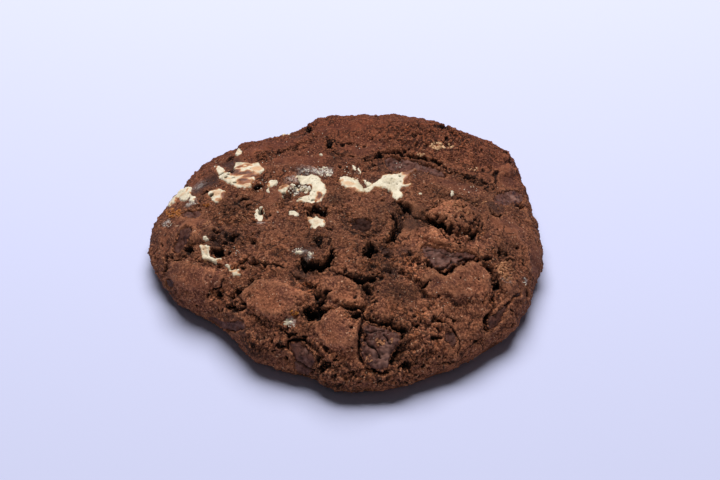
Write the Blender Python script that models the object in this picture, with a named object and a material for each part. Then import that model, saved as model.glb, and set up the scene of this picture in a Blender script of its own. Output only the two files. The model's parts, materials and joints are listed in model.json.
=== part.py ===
"""Smores cookie: one thick chocolate cookie with melted marshmallow and chocolate chunks.

The dough is a closed mesh. It starts as a subdivided cube, is mapped onto the cookie's
round profile, gets its pads, cracks and pits by functions of the place on the surface,
and is then thinned by a Decimate modifier. Each chocolate chunk and each patch of
marshmallow is a solid of its own, set in a pocket that a Boolean modifier cuts in the
dough. Blender 4.5, metres, +Z up, origin in the middle of the underside.
"""
import bmesh
import bpy
import numpy as np
from mathutils import Vector, noise

MM = 0.001

# ---- Driving dimensions, all in millimetres ---------------------------------------------
# The rim's distance from the drawing's middle, from +X round to +Y, at equal angles.
RIM_RADII = [48.3, 47.5, 48.6, 51.1, 52.0, 49.0, 49.2, 47.9, 45.6, 45.3, 45.1, 40.3,
             40.4, 42.8, 44.3, 45.0, 45.3, 46.3, 47.8, 47.7, 45.8, 43.6, 40.7, 40.9,
             43.4, 43.9, 44.6, 47.3, 48.5, 48.2, 47.7, 48.4, 49.2, 48.8, 47.9, 48.0]
MIDDLE = (0.0, -1.0)       # a point near the middle of the rim's box, which becomes the origin
WIDEST_Z = 4.0             # height of the widest line
CROWN = 18.0               # height over the middle
SHOULDER = 15.0            # height that the dome would have at the rim
SHOULDER_POWER = 4.5       # how late the top turns down to the rim
FOOT_TUCK = 0.035          # share of the radius that the foot draws in

# x, y, half-length, half-width, turn in degrees, height
SWELLS = [
    (17, 29, 26, 9, -8, 2.2),       # the raised back, behind the long crack
    (-24, 22, 16, 12, 30, 0.6),
    (-2, 4, 12, 12, 0, -1.6),       # the sunken middle
    (-30, -2, 12, 9, 0, -1.2),
    (25, -14, 15, 10, 10, 1.2),
    (-10, -22, 16, 8, -10, 0.8),
]
PADS = [
    (19.0, 25.0, 19.0, 8.6, -14, 1.2),  # the lip of the raised back
    (-16.0, -30.6, 10.5, 4.9, -14, 1.5),
    (0.6, -39.6, 6.0, 3.6, -22, 1.3),
    (25.6, -26.2, 9.8, 5.2, 6, 1.5),
    (-34.2, -19.6, 9.0, 4.2, -18, 1.2),
    (21.3, -14.2, 4.4, 2.2, -15, 1.1),
    (-35.6, -8.2, 6.0, 3.4, -20, 1.2),
    (25.4, -6.3, 6.8, 6.0, -12, 2.0),   # the crumbly lump right of the middle
    (37.6, -23.6, 3.4, 2.6, -35, 1.2),
]
# x, y, half-length, half-width, turn in degrees, depth
PITS = [
    (-6.7, -21.6, 5.0, 4.3, 0, 4.2),
    (-6.9, -4.6, 3.6, 1.9, -38, 3.2),
    (6.3, -18.2, 2.0, 3.0, 0, 3.8),
    (5.0, 14.8, 1.1, 1.1, 0, 2.0),
    (8.2, 16.0, 1.6, 1.1, 20, 2.2),
    (6.6, 12.4, 1.2, 0.9, -30, 1.8),
    (-22.0, 5.0, 2.0, 1.3, -45, 2.2),
    (-29.6, -14.8, 3.0, 1.8, -10, 2.6),
    (-26.4, -13.3, 1.4, 1.0, 20, 1.8),
    (-6.0, -16.2, 1.6, 1.0, 20, 2.0),
    (-4.0, -11.6, 1.0, 1.2, 0, 1.6),
    (-2.6, -16.8, 0.9, 1.0, 0, 1.6),
    (33.0, -19.2, 2.2, 0.9, -20, 2.2),
    (36.4, -15.6, 1.9, 1.0, 30, 2.2),
    (34.2, -24.2, 2.4, 1.0, 84, 2.4),
    (4.4, -28.6, 3.2, 1.9, -25, 2.2),
    (-29.7, -24.4, 1.9, 1.1, -20, 1.8),
    (-23.8, -26.5, 2.0, 1.0, 20, 1.8),
    (-20.3, -25.2, 1.4, 0.9, 25, 1.4),
    (-24.9, -29.5, 2.5, 0.9, -25, 1.6),
    (-42.6, -11.8, 1.1, 1.0, 0, 1.3),
    (-35.9, -13.6, 1.8, 1.1, -15, 1.6),
    (-38.9, -14.8, 1.0, 0.7, 0, 1.0),
    (-6.0, -35.0, 4.2, 2.3, 14, 3.2),
    (2.3, -36.2, 3.0, 1.2, -4, 2.4),
    (13.2, -39.4, 1.3, 1.1, 0, 2.0),
    (20.5, -39.3, 1.0, 0.9, 0, 1.2),
    (13.9, -45.0, 1.8, 1.3, 0, 2.0),
    (-3.6, -44.7, 1.7, 1.6, 0, 1.8),
    (-14.6, -39.9, 1.4, 0.7, -15, 1.4),
    (26.3, -16.2, 1.2, 0.6, 10, 1.4),
    (24.3, 31.0, 1.6, 2.2, 0, 1.6),
    (-28.0, 24.0, 1.3, 3.2, 35, 1.8),
    (-8.6, -22.9, 0.9, 0.9, 0, 0.8),
    (-10.0, 35.0, 1.4, 2.4, 10, 1.6),
    (-33.5, 13.0, 3.2, 1.4, -20, 1.0),
]
# half-width, depth, then the crack's points
CRACKS = [
    (0.9, 3.0, [(9.4, 17.9), (14.3, 17.5), (16.9, 16.6), (20.7, 15.7), (24.0, 13.3),
                (26.9, 10.3), (32.2, 9.4)]),
    (0.6, 1.4, [(36.4, 17.4), (36.9, 15.5), (37.4, 11.6)]),
    (0.8, 2.4, [(12.6, -1.9), (14.5, -4.2), (16.2, -7.4), (19.0, -8.8)]),
    (0.9, 2.6, [(12.4, -6.1), (11.5, -9.8), (12.6, -12.7), (12.2, -15.3), (9.5, -16.4)]),
    (1.0, 2.8, [(19.0, -8.8), (21.4, -10.4), (23.6, -13.0), (25.8, -12.9), (28.5, -13.6),
                (31.2, -12.6)]),
    (0.6, 2.2, [(31.6, -20.8), (33.5, -21.6), (34.1, -24.0), (34.6, -26.7), (34.2, -28.8),
                (33.0, -30.5)]),
    (0.7, 2.2, [(-3.4, -25.8), (1.5, -26.6), (3.8, -29.8), (5.4, -31.6)]),
    (0.7, 2.0, [(0.1, -35.2), (4.6, -35.9), (6.2, -36.8)]),
    (0.5, 1.0, [(18.3, -34.0), (19.9, -34.9), (23.5, -36.3), (25.2, -35.1)]),
    (0.5, 1.1, [(19.0, -27.5), (16.9, -29.0), (15.7, -31.2)]),
    (0.5, 1.0, [(-7.8, -29.5), (-6.4, -30.3), (-3.3, -30.6)]),
    (0.6, 1.2, [(-42.5, -13.0), (-39.0, -15.4), (-33.0, -14.6)]),
    (0.6, 1.2, [(20.7, -42.6), (25.5, -39.9), (28.9, -37.3)]),
    (0.7, 1.6, [(-30.0, 29.0), (-21.0, 34.5), (-12.0, 37.0)]),     # low on the hidden back
    (0.7, 1.6, [(4.0, 43.5), (14.0, 44.5), (24.0, 41.5)]),
    (0.6, 1.3, [(38.0, 28.0), (42.0, 22.5), (44.5, 15.0)]),
]
# Creases between the dough's knobs, wider and softer than a crack: half-width, depth, points
CREASES = [
    (2.2, 1.5, [(-30.7, -24.3), (-27.4, -26.5), (-24.5, -27.9), (-22.6, -26.7), (-20.6, -25.0)]),
    (2.0, 0.9, [(-32.8, -9.7), (-30.5, -12.1), (-28.0, -13.7), (-25.6, -12.9)]),
    (1.6, 1.1, [(-34.9, -17.1), (-30.9, -19.4), (-27.1, -20.5), (-22.9, -19.9), (-19.1, -21.8)]),
    (1.8, 1.6, [(-10.1, -27.3), (-7.8, -29.0), (-6.0, -30.3), (-4.8, -32.3), (-5.9, -34.0),
                (-8.2, -35.3)]),
    (1.4, 1.0, [(11.9, -24.7), (14.9, -26.4), (16.9, -28.4), (18.0, -30.4), (19.3, -32.4)]),
    (1.3, 1.5, [(32.0, -19.3), (33.6, -20.8), (34.9, -23.4), (34.7, -26.5), (33.2, -29.6)]),
    (1.7, 1.1, [(25.5, 11.1), (28.6, 9.4), (32.1, 8.0), (35.6, 8.6), (38.0, 6.9)]),
    (2.4, 1.7, [(0.3, -26.7), (3.0, -28.5), (5.1, -30.8), (6.0, -33.8), (4.4, -36.0)]),
    (1.5, 1.6, [(18.4, -8.5), (20.9, -10.4), (23.6, -12.5), (25.9, -14.7), (28.7, -14.7),
                (31.5, -12.6), (32.9, -8.5)]),
    (1.7, 1.5, [(12.1, -2.2), (14.2, -4.6), (13.0, -7.7), (12.2, -11.4), (10.9, -15.1),
                (9.3, -17.7)]),
    (1.6, 1.2, [(-11.1, -3.8), (-8.0, -4.6), (-4.4, -5.2)]),
    (1.5, 1.4, [(4.2, -37.4), (7.9, -38.4), (12.0, -39.0), (14.0, -39.3)]),
    (1.7, 1.4, [(14.0, -39.5), (13.5, -42.1), (11.9, -44.4), (11.0, -46.2)]),
    (1.6, 1.3, [(-10.4, -39.8), (-6.3, -42.3), (-4.9, -44.0), (-2.9, -45.4)]),
    (1.3, 0.9, [(-22.7, -30.7), (-19.8, -34.4), (-16.3, -36.7), (-11.7, -38.4)]),
    (1.6, 1.2, [(-9.8, 10.4), (-11.1, 5.0), (-13.4, 1.1), (-15.2, -1.9)]),
    (1.5, 1.1, [(-21.0, 16.2), (-16.6, 19.4), (-12.7, 21.2), (-8.2, 23.6)]),
    (1.6, 1.2, [(-0.1, -5.3), (1.6, -12.1), (4.0, -14.3), (6.8, -13.3), (8.2, -9.3)]),
]
# Bumps left standing in pits, and small crumbs fused to the top: x, y, half sizes, turn, height
BUMPS = [
    (-6.5, -21.4, 2.7, 1.9, 0, 3.4),
    (-18.0, 6.0, 1.4, 1.1, 0, 0.6),
    (-12.3, -5.8, 1.3, 0.9, 0, 0.6),
    (-12.6, -36.4, 1.2, 0.8, 0, 0.8),
    (22.9, 20.2, 2.8, 0.7, 48, 0.6),
    (26.2, 20.9, 0.8, 0.7, 0, 0.6),
    (19.0, 16.9, 1.2, 0.6, 20, 0.5),
    (-42.0, 1.2, 2.0, 1.1, 0, 0.6),
    (-33.9, 1.0, 0.9, 0.6, 0, 0.5),
    (37.2, -20.2, 2.2, 1.5, -35, 0.7),
]
HARD_EDGE = (0.45, 1.15)   # a pit is full depth inside the first share, gone past the second
OVAL_DEPTH = 6.0           # how far over or under the crust an oval still works
CRACK_ENDS = 0.45          # share of a crack's width that is left at its ends
CRACK_EDGE = 1.25          # a crack is gone past this share of its half-width
CRACK_ROUND = 0.7          # under 1, a crack's floor is rounder than its edges
STREWN_PITS = 90           # small pits at random places of the whole crust
STREWN_SEED = 11
STREWN_SIZES = (0.5, 1.3)
STREWN_SLIMNESS = (0.5, 0.9)
STREWN_DEPTHS = (0.6, 1.1)         # share of the pit's size
STREWN_AREA = (0.02, 1.1)          # share of the crust's area inside the pit; over 1 is the rim
STREWN_REACH = 0.985               # farthest place, as a share of the rim's radius
UNEVEN = ((9.0, 0.8), (4.2, 0.55), (2.0, 0.22))    # wavelength and height of the roughness
FREE_HEIGHT = 1.5          # the relief starts at the floor and is whole at this height
FLAT_BELOW = 0.02          # lower points belong to the flat underside

CUBE_CUTS = 60             # divisions of the starting cube's edge
DOUGH_FACES = 9300         # triangles left in the dough before the pockets are cut
PROFILE_SAMPLES = (400, 40, 60)    # samples of the section's top, foot and underside
SLOPE_STEP = 0.05          # step over which the crust's slope is taken
FARTHEST = 9.0             # no height over a piece's frame and no crack's edge is farther
HALVINGS = 40              # halvings in a search for the crust
SHARP_ANGLE = 40           # degrees between faces that shows as an edge
GAP = 0.3                  # clearance of a piece in its pocket
CUT_OUT = 5.0              # how far a cutter stands out of the surface

# Chocolate: centre on the drawing, depth sunk, height standing proud, then the outline as
# (along, up) on the surface round that centre.
CHUNKS = {
    "chunk_right": ((23.5, -20.1), 2.8, -0.1, [
        (-6.0, 3.0), (-3.0, 3.1), (0.0, 2.2), (3.1, 1.7), (6.4, 1.4), (7.1, 1.1),
        (4.8, -0.8), (1.9, -2.8), (-0.9, -3.9), (-3.3, -3.3), (-4.2, -1.3), (-5.9, 0.1)]),
    "chunk_front": ((8.1, -43.1), 3.0, 0.2, [
        (-3.7, 5.7), (-1.2, 5.1), (1.7, 4.2), (4.2, 3.8), (4.8, 1.5), (3.7, -0.7),
        (2.5, -2.3), (2.2, -4.7), (0.7, -5.6), (-1.8, -5.2), (-3.7, -3.0), (-4.4, -0.2), (-4.2, 2.7)]),
    "chunk_front_left": ((-9.5, -42.0), 2.4, 0.3, [
        (-3.0, 2.3), (-1.2, 2.8), (0.7, 2.1), (2.4, 0.7), (3.1, -0.8), (2.5, -2.6),
        (3.0, -3.8), (0.4, -4.3), (-1.8, -3.6), (-2.3, -2.0), (-3.2, -0.2)]),
    "chunk_rim_right": ((36.7, -29.1), 2.4, 0.2, [
        (6.4, 5.1), (7.1, 4.4), (4.6, 2.3), (2.1, 0.1), (-0.1, -1.7), (-1.0, -3.5),
        (-3.6, -5.1), (-4.9, -4.0), (-4.8, -2.4), (-3.0, -1.0), (-1.0, 0.6), (1.3, 2.6), (3.5, 4.0)]),
    "chunk_back_right": ((39.8, 4.4), 2.0, 0.2, [
        (-5.2, -2.5), (-3.4, 0.8), (-0.5, 3.3), (2.9, 4.5), (6.2, 5.6), (6.4, 3.9),
        (2.3, -0.8), (-1.6, -3.7), (-4.1, -4.4)]),
    "chunk_left": ((-36.7, -1.4), 1.8, 0.2, [
        (-2.6, 0.8), (-1.7, 1.6), (0.4, 1.1), (2.4, 0.1), (2.4, -1.1), (0.4, -1.4), (-1.7, -0.8)]),
    "chunk_left_long": ((-38.4, -9.9), 2.0, 0.2, [
        (2.0, 2.7), (2.5, 1.7), (1.4, 0.2), (0.2, -1.6), (-1.3, -3.0), (-2.6, -3.3),
        (-2.7, -1.7), (-1.9, 0.5), (-0.4, 2.1), (0.8, 2.8)]),
    "chunk_rim_left": ((-26.4, -30.9), 2.2, 0.3, [
        (-7.4, -0.6), (-5.3, 0.4), (-2.2, 0.9), (0.4, 1.5), (3.0, 1.9), (5.0, 1.2),
        (5.6, -0.2), (4.0, -1.4), (0.6, -1.7), (-3.4, -1.7), (-6.6, -1.6)]),
    "chunk_rim_far_left": ((-41.4, -17.1), 1.8, 0.2, [
        (-2.6, -0.1), (-0.5, 1.4), (1.5, 1.4), (2.0, 0.1), (0.3, -1.7), (-2.6, -2.0)]),
    "chunk_middle": ((4.0, -9.5), 2.2, -0.5, [
        (-2.9, 2.1), (-1.0, 3.2), (1.4, 2.8), (2.9, 1.4), (3.0, -0.9), (1.8, -2.7),
        (-0.3, -3.0), (-2.1, -2.2), (-3.2, -0.3)]),
    "chunk_front_right": ((24.0, -38.6), 1.8, 0.1, [
        (-2.0, 1.7), (-0.2, 2.2), (1.5, 1.2), (2.1, -0.6), (1.4, -2.4), (-0.5, -1.9), (-1.8, -0.3)]),
    "chunk_back": ((17.3, 12.1), 2.4, -1.0, [
        (-7.3, 3.9), (-4.6, 4.5), (-1.6, 3.0), (1.4, 2.1), (4.3, 1.2), (6.5, -0.5),
        (7.9, -2.5), (5.9, -3.3), (3.0, -2.1), (0.5, -0.6), (-2.7, -1.3), (-5.4, -1.2), (-7.6, 0.1)]),
}
# Marshmallow: the same, but each is a thin skin with an uneven outline.
MARSHMALLOWS = {
    "marshmallow_rim": ((-41.5, 8.6), 1.0, 0.4, [
        (-4.2, 0.2), (-3.2, 2.2), (-1.8, 4.2), (0.2, 4.6), (2.4, 3.3), (3.5, 0.6),
        (2.9, -0.8), (1.8, -1.9), (-0.4, -1.9), (-2.4, -1.7)]),
    "marshmallow_left": ((-26.7, 10.8), 1.1, 0.4, [
        (-6.8, 6.2), (-5.1, 5.4), (-3.4, 2.3), (-2.7, 0.7), (-1.3, 0.9), (-1.1, 5.6),
        (0.4, 4.0), (4.7, 3.5), (6.3, 1.0), (6.3, -0.2), (4.2, -1.1), (3.8, -3.6),
        (3.1, -5.3), (0.6, -5.6), (-1.0, -4.4), (-3.9, -1.7), (-5.7, 0.6)]),
    "marshmallow_left_small": ((-31.4, 3.9), 1.0, 0.3, [
        (-2.4, 1.8), (-0.9, 1.9), (0.8, 2.2), (2.1, 1.0), (2.3, -0.6), (1.1, -1.6),
        (0.2, -2.7), (-1.2, -1.7), (-2.3, -0.5)]),
    "marshmallow_middle": ((-8.5, 4.5), 1.0, 0.4, [
        (-3.7, 4.3), (-2.3, 4.8), (-0.1, 4.7), (1.6, 3.9), (2.9, 2.8), (3.7, -0.3),
        (3.4, -2.8), (2.4, -4.2), (1.7, -6.6), (-0.3, -6.1), (-3.1, -6.2), (-3.0, -4.5),
        (-1.0, -4.1), (0.3, -2.2), (0.9, 0.5), (-0.3, 1.2), (-2.1, 1.4), (-3.4, 2.7)]),
    "marshmallow_middle_left": ((-13.5, 3.5), 0.9, 0.3, [
        (-2.7, -0.7), (-2.3, 1.2), (-0.6, 1.4), (0.9, 1.8), (1.9, 1.2), (1.6, 0.4),
        (0.5, 0.3), (-0.2, -1.1), (-0.4, -2.6), (-1.2, -1.6)]),
    "marshmallow_back": ((1.2, 5.6), 1.0, 0.3, [
        (-3.2, 2.2), (-1.4, 2.9), (0.5, 2.2), (2.0, 1.0), (2.7, -1.2), (2.4, -2.8),
        (0.8, -3.1), (-1.4, -1.6), (-2.8, 0.0)]),
    "marshmallow_back_right": ((11.5, 4.4), 1.1, 0.4, [
        (-6.6, -1.0), (-5.4, 0.4), (-4.3, 2.0), (-2.6, 2.9), (-2.9, 4.2), (0.3, 4.2),
        (2.5, 4.3), (5.3, 5.5), (4.8, 3.9), (2.8, 1.5), (2.6, 0.1), (4.5, 0.3),
        (3.9, -0.4), (2.4, -0.6), (1.8, -1.8), (2.4, -3.3), (1.6, -5.3), (0.8, -5.9),
        (-0.1, -4.9), (-0.4, -2.5), (-2.6, -0.9), (-4.3, -0.4), (-5.4, -1.5)]),
    "marshmallow_loop": ((-20.4, -5.2), 0.9, 0.2, [
        (-1.0, 0.7), (-0.2, 2.7), (0.6, 2.7), (0.5, 0.8), (0.7, -1.1), (0.9, -2.1),
        (-0.3, -2.4), (-1.1, -1.2)]),
    "marshmallow_star": ((-6.7, -8.9), 1.0, 0.3, [
        (-2.2, 1.7), (-0.9, 1.0), (-0.2, 2.0), (0.6, 0.8), (1.8, 0.6), (1.2, -0.8),
        (1.7, -1.8), (-0.4, -2.6), (-1.3, -1.3)]),
    "marshmallow_fold": ((-31.9, -16.2), 1.0, 0.3, [
        (-2.0, 3.0), (0.4, 2.2), (0.3, 0.6), (1.3, -1.1), (2.8, -1.8), (1.2, -2.6),
        (0.2, -1.6), (-0.8, -0.7), (-1.5, -1.0), (-2.0, 1.2)]),
    "marshmallow_fold_tip": ((-25.7, -21.0), 0.9, 0.3, [
        (-2.4, 1.7), (-1.1, 1.9), (0.3, 0.5), (1.6, 0.0), (1.5, -1.1), (0.7, -1.6),
        (-0.2, -1.4), (-0.8, -0.4)]),
}
SOFT_EDGE = 0.35           # how far in a piece's rounded edge runs

DOUGH_COLOUR = (0.115, 0.050, 0.028)
CHOCOLATE_COLOUR = (0.045, 0.022, 0.018)
MARSHMALLOW_COLOUR = (0.78, 0.70, 0.52)


# ---- The cookie's form -------------------------------------------------------------------
def rim_radius(theta):
    """A smooth closed curve through RIM_RADII."""
    radii = np.array(RIM_RADII)
    place = np.mod(theta, 2 * np.pi) / (2 * np.pi) * len(radii)
    start = np.floor(place).astype(int)
    t = place - start
    before, here, after, beyond = (radii[(start + k) % len(radii)] for k in (-1, 0, 1, 2))
    return 0.5 * (2 * here + (after - before) * t
                  + (2 * before - 5 * here + 4 * after - beyond) * t ** 2
                  + (3 * here - before - 3 * after + beyond) * t ** 3)


def spread(x, y, row):
    """Distance from an oval's middle, 1 on its outline."""
    centre_x, centre_y, half_length, half_width, turn = row[:5]
    angle = np.radians(turn)
    along = (x - centre_x) * np.cos(angle) + (y - centre_y) * np.sin(angle)
    across = (y - centre_y) * np.cos(angle) - (x - centre_x) * np.sin(angle)
    return np.hypot(along / half_length, across / half_width)


def top_height(x, y):
    """Height of the crust, without its cracks and pits, inside the rim."""
    rho = np.clip(np.hypot(x, y) / rim_radius(np.arctan2(y, x)), 0, 1)
    dome = CROWN - (CROWN - SHOULDER) * rho ** 2
    for row in SWELLS:
        dome = dome + row[5] * np.exp(-spread(x, y, row) ** 2)
    for row in PADS:
        dome = dome + row[5] * np.clip(1 - spread(x, y, row) ** 4, 0, 1)
    return WIDEST_Z + (dome - WIDEST_Z) * np.sqrt(np.clip(1 - rho ** SHOULDER_POWER, 0, 1))


def foot_share(z):
    return 1 - FOOT_TUCK * np.clip(1 - z / WIDEST_Z, 0, 1) ** 2


def is_inside(point):
    x, y, z = point[..., 0], point[..., 1], point[..., 2]
    rho = np.hypot(x, y) / rim_radius(np.arctan2(y, x))
    under_crust = (rho < 1) & (z < top_height(x, y))
    return (z > 0) & np.where(z < WIDEST_Z, rho < foot_share(z), under_crust)


def surface_frame(x, y):
    """A point of the crust with its level direction, its uphill direction and its normal."""
    point = np.array([x, y, top_height(x, y)])
    step = SLOPE_STEP
    normal = np.array([top_height(x - step, y) - top_height(x + step, y),
                       top_height(x, y - step) - top_height(x, y + step),
                       2 * step])
    normal /= np.linalg.norm(normal)
    along = np.array([1.0, 0.0, 0.0]) - normal * normal[0]
    along /= np.linalg.norm(along)
    return point, along, np.cross(normal, along), normal


def on_surface(frame, along, up):
    """Height of the crust over a frame's tangent plane, found by halving."""
    point, level, uphill, normal = frame
    base = point + np.multiply.outer(along, level) + np.multiply.outer(up, uphill)
    low = np.full(len(base), -FARTHEST)
    high = np.full(len(base), FARTHEST)
    for _ in range(HALVINGS):
        middle = (low + high) / 2
        within = is_inside(base + middle[:, None] * normal)
        low = np.where(within, middle, low)
        high = np.where(within, high, middle)
    return low


# ---- The dough ---------------------------------------------------------------------------
def profile_table():
    """A section from the crown to the middle of the underside, by the share of its length.

    The last value is the share at which the top ends."""
    on_top, on_foot, under = PROFILE_SAMPLES
    rho_top = np.linspace(0, 1, on_top)
    z_top = WIDEST_Z + (CROWN - WIDEST_Z) * np.sqrt(1 - rho_top ** SHOULDER_POWER)
    z_foot = np.linspace(WIDEST_Z, 0, on_foot)[1:]
    rho_under = np.linspace(foot_share(0), 0, under)[1:]
    rho = np.concatenate([rho_top, foot_share(z_foot), rho_under])
    z = np.concatenate([z_top, z_foot, np.zeros(len(rho_under))])
    steps = np.hypot(np.diff(rho) * np.mean(RIM_RADII), np.diff(z))
    length = np.concatenate([[0], np.cumsum(steps)])
    share = length / length[-1]
    return share, rho, z, share[on_top - 1]


def map_to_cookie(directions):
    """Moves points of a unit ball onto the crust."""
    share, rho, z, top_end = profile_table()
    place = np.arccos(np.clip(directions[:, 2], -1, 1)) / np.pi
    theta = np.arctan2(directions[:, 1], directions[:, 0])
    rho_here = np.interp(place, share, rho)
    z_here = np.interp(place, share, z)
    radius = rho_here * rim_radius(theta)
    x, y = radius * np.cos(theta), radius * np.sin(theta)
    z_here = np.where(place <= top_end, top_height(x, y), z_here)
    return np.stack([x, y, z_here], axis=1)


def oval_falloff(points, row):
    """1 in the middle of an oval laid on the crust, 0 outside it."""
    frame = surface_frame(row[0], row[1])
    angle = np.radians(row[4])
    offset = points - frame[0]
    level, uphill, outward = (offset @ axis for axis in frame[1:])
    along = level * np.cos(angle) + uphill * np.sin(angle)
    across = uphill * np.cos(angle) - level * np.sin(angle)
    reach = np.sqrt((along / row[2]) ** 2 + (across / row[3]) ** 2 + (outward / OVAL_DEPTH) ** 2)
    full, gone = HARD_EDGE
    t = np.clip((gone - reach) / (gone - full), 0, 1)
    return t * t * (3 - 2 * t)


def crack_falloff(points, half_width, route):
    """1 along a crack, 0 beside it; the crack narrows to its ends."""
    on_crust = np.array([(x, y, top_height(x, y)) for x, y in route])
    nearest = np.full(len(points), FARTHEST)
    total = len(on_crust) - 1
    for index in range(total):
        start, way = on_crust[index], on_crust[index + 1] - on_crust[index]
        t = np.clip((points - start) @ way / (way @ way), 0, 1)
        distance = np.linalg.norm(points - start - t[:, None] * way, axis=1)
        run = (index + t) / total
        narrowed = CRACK_ENDS + (1 - CRACK_ENDS) * np.sin(np.pi * run)
        nearest = np.minimum(nearest, distance / (half_width * narrowed))
    return np.clip(CRACK_EDGE - nearest, 0, 1) ** CRACK_ROUND


def strewn_pits():
    """Small pits at random places of the crust, the hidden back too."""
    draw = np.random.default_rng(STREWN_SEED)
    rows = []
    for _ in range(STREWN_PITS):
        theta = draw.uniform(0, 2 * np.pi)
        radius = rim_radius(theta) * min(STREWN_REACH, np.sqrt(draw.uniform(*STREWN_AREA)))
        size = draw.uniform(*STREWN_SIZES)
        width = size * draw.uniform(*STREWN_SLIMNESS)
        turn = draw.uniform(0, 180)
        depth = size * draw.uniform(*STREWN_DEPTHS)
        rows.append((radius * np.cos(theta), radius * np.sin(theta), size, width, turn, depth))
    return rows


def relief(points):
    """How far the crust moves out (+) or in (-) at each point."""
    move = np.zeros(len(points))
    for wavelength, height in UNEVEN:
        move += height * np.array([noise.noise(Vector(p / wavelength)) for p in points])
    dig = np.zeros(len(points))
    for row in PITS + strewn_pits():
        dig = np.maximum(dig, row[5] * oval_falloff(points, row))
    for half_width, depth, route in CRACKS + CREASES:
        dig = np.maximum(dig, depth * crack_falloff(points, half_width, route))
    move -= dig
    for row in BUMPS:
        move += row[5] * oval_falloff(points, row)
    return move


def make_dough(collection):
    mesh = bpy.data.meshes.new("cookie_dough")
    bm = bmesh.new()
    bmesh.ops.create_cube(bm, size=2.0)
    bmesh.ops.subdivide_edges(bm, edges=bm.edges, cuts=CUBE_CUTS - 1, use_grid_fill=True)
    cube = np.array([v.co for v in bm.verts])
    ball = np.tan(cube * np.pi / 4)
    ball /= np.linalg.norm(ball, axis=1)[:, None]
    points = map_to_cookie(ball)
    for vertex, point in zip(bm.verts, points):
        vertex.co = point
    bm.normal_update()
    outward = np.array([v.normal for v in bm.verts])
    # the underside stays flat and the foot keeps its place on the floor
    free = np.clip(points[:, 2] / FREE_HEIGHT, 0, 1)
    points = points + outward * (relief(points) * free)[:, None]
    points[:, 2] = np.maximum(points[:, 2], 0)
    for vertex, point in zip(bm.verts, points):
        vertex.co = to_part(point)
    bmesh.ops.triangulate(bm, faces=bm.faces)
    face_count = len(bm.faces)
    bm.to_mesh(mesh)
    bm.free()
    dough = bpy.data.objects.new("cookie_dough", mesh)
    collection.objects.link(dough)
    thin = dough.modifiers.new("thin out", "DECIMATE")
    thin.ratio = DOUGH_FACES / face_count
    apply_modifiers(dough)
    for vertex in dough.data.vertices:
        if vertex.co.z < FLAT_BELOW * MM:
            vertex.co.z = 0.0
    return dough


# ---- Pieces set in the dough -------------------------------------------------------------
def to_part(point):
    return Vector(((point[0] - MIDDLE[0]) * MM, (point[1] - MIDDLE[1]) * MM, point[2] * MM))


def turning(points):
    """Twice an outline's area, below zero if it runs clockwise."""
    x, y = np.transpose(points)
    return np.sum(x * np.roll(y, -1) - np.roll(x, -1) * y)


def grown(outline, by):
    """The outline moved outwards by a distance, corner by corner."""
    points = np.array(outline)
    ahead = np.roll(points, -1, axis=0) - points
    ahead /= np.linalg.norm(ahead, axis=1)[:, None]
    behind = np.roll(ahead, 1, axis=0)
    both = ahead + behind
    side = np.stack([both[:, 1], -both[:, 0]], axis=1)
    side *= np.sign(turning(points)) * 2 / np.maximum(np.sum(side ** 2, axis=1), 1.0)[:, None]
    return points + by * side


def outline_solid(name, frame, outline, floor, rim, crown):
    """A slab with a level floor in the crust; its rim and its crown are heights over the crust."""
    bm = bmesh.new()
    points = [tuple(p) for p in outline]
    if turning(points) < 0:
        points.reverse()
    base = bm.faces.new([bm.verts.new((along, up, floor)) for along, up in points])
    raised = bmesh.ops.extrude_face_region(bm, geom=[base], use_keep_orig=True)["geom"]
    lid = next(item for item in raised if isinstance(item, bmesh.types.BMFace))
    for vertex in lid.verts:
        vertex.co.z = rim
    if crown != rim:
        bmesh.ops.inset_region(bm, faces=[lid], thickness=SOFT_EDGE, use_even_offset=False)
        for vertex in lid.verts:
            vertex.co.z = crown
    bmesh.ops.recalc_face_normals(bm, faces=bm.faces)
    flat = np.array([v.co for v in bm.verts])
    crust = on_surface(frame, flat[:, 0], flat[:, 1])
    height = np.where(flat[:, 2] == np.float32(floor), flat[:, 2], crust + flat[:, 2])
    point, level, uphill, normal = frame
    for vertex, (along, up, _), lift in zip(bm.verts, flat, height):
        vertex.co = to_part(point + along * level + up * uphill + lift * normal)
    bmesh.ops.triangulate(bm, faces=bm.faces, ngon_method="EAR_CLIP")
    mesh = bpy.data.meshes.new(name)
    bm.to_mesh(mesh)
    bm.free()
    return bpy.data.objects.new(name, mesh)


def make_piece(name, row, collection, cutters):
    """A chunk or a skin, and the cutter of its pocket."""
    centre, sunk, proud, outline = row
    frame = surface_frame(*centre)
    floor = np.min(on_surface(frame, *np.array(outline).T)) - sunk
    piece = outline_solid(name, frame, outline, floor, proud - SOFT_EDGE, proud)
    collection.objects.link(piece)
    cutter = outline_solid(name + "_cutter", frame, grown(outline, GAP), floor - GAP, CUT_OUT, CUT_OUT)
    cutter.hide_render = True
    cutter.display_type = "WIRE"
    cutters.objects.link(cutter)
    return piece


def apply_modifiers(obj):
    """Puts the evaluated mesh in place of the object's own."""
    bpy.context.view_layer.update()
    evaluated = obj.evaluated_get(bpy.context.evaluated_depsgraph_get())
    mesh = bpy.data.meshes.new_from_object(evaluated)
    obj.modifiers.clear()
    obj.data = mesh


def finish(obj, colour, roughness):
    material = bpy.data.materials.new(obj.name)
    material.use_nodes = True
    shader = material.node_tree.nodes["Principled BSDF"]
    shader.inputs["Base Color"].default_value = (*colour, 1.0)
    shader.inputs["Roughness"].default_value = roughness
    shader.inputs["Metallic"].default_value = 0.0
    obj.data.materials.clear()
    obj.data.materials.append(material)
    obj.data.shade_smooth()
    obj.data.set_sharp_from_angle(angle=np.radians(SHARP_ANGLE))


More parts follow.
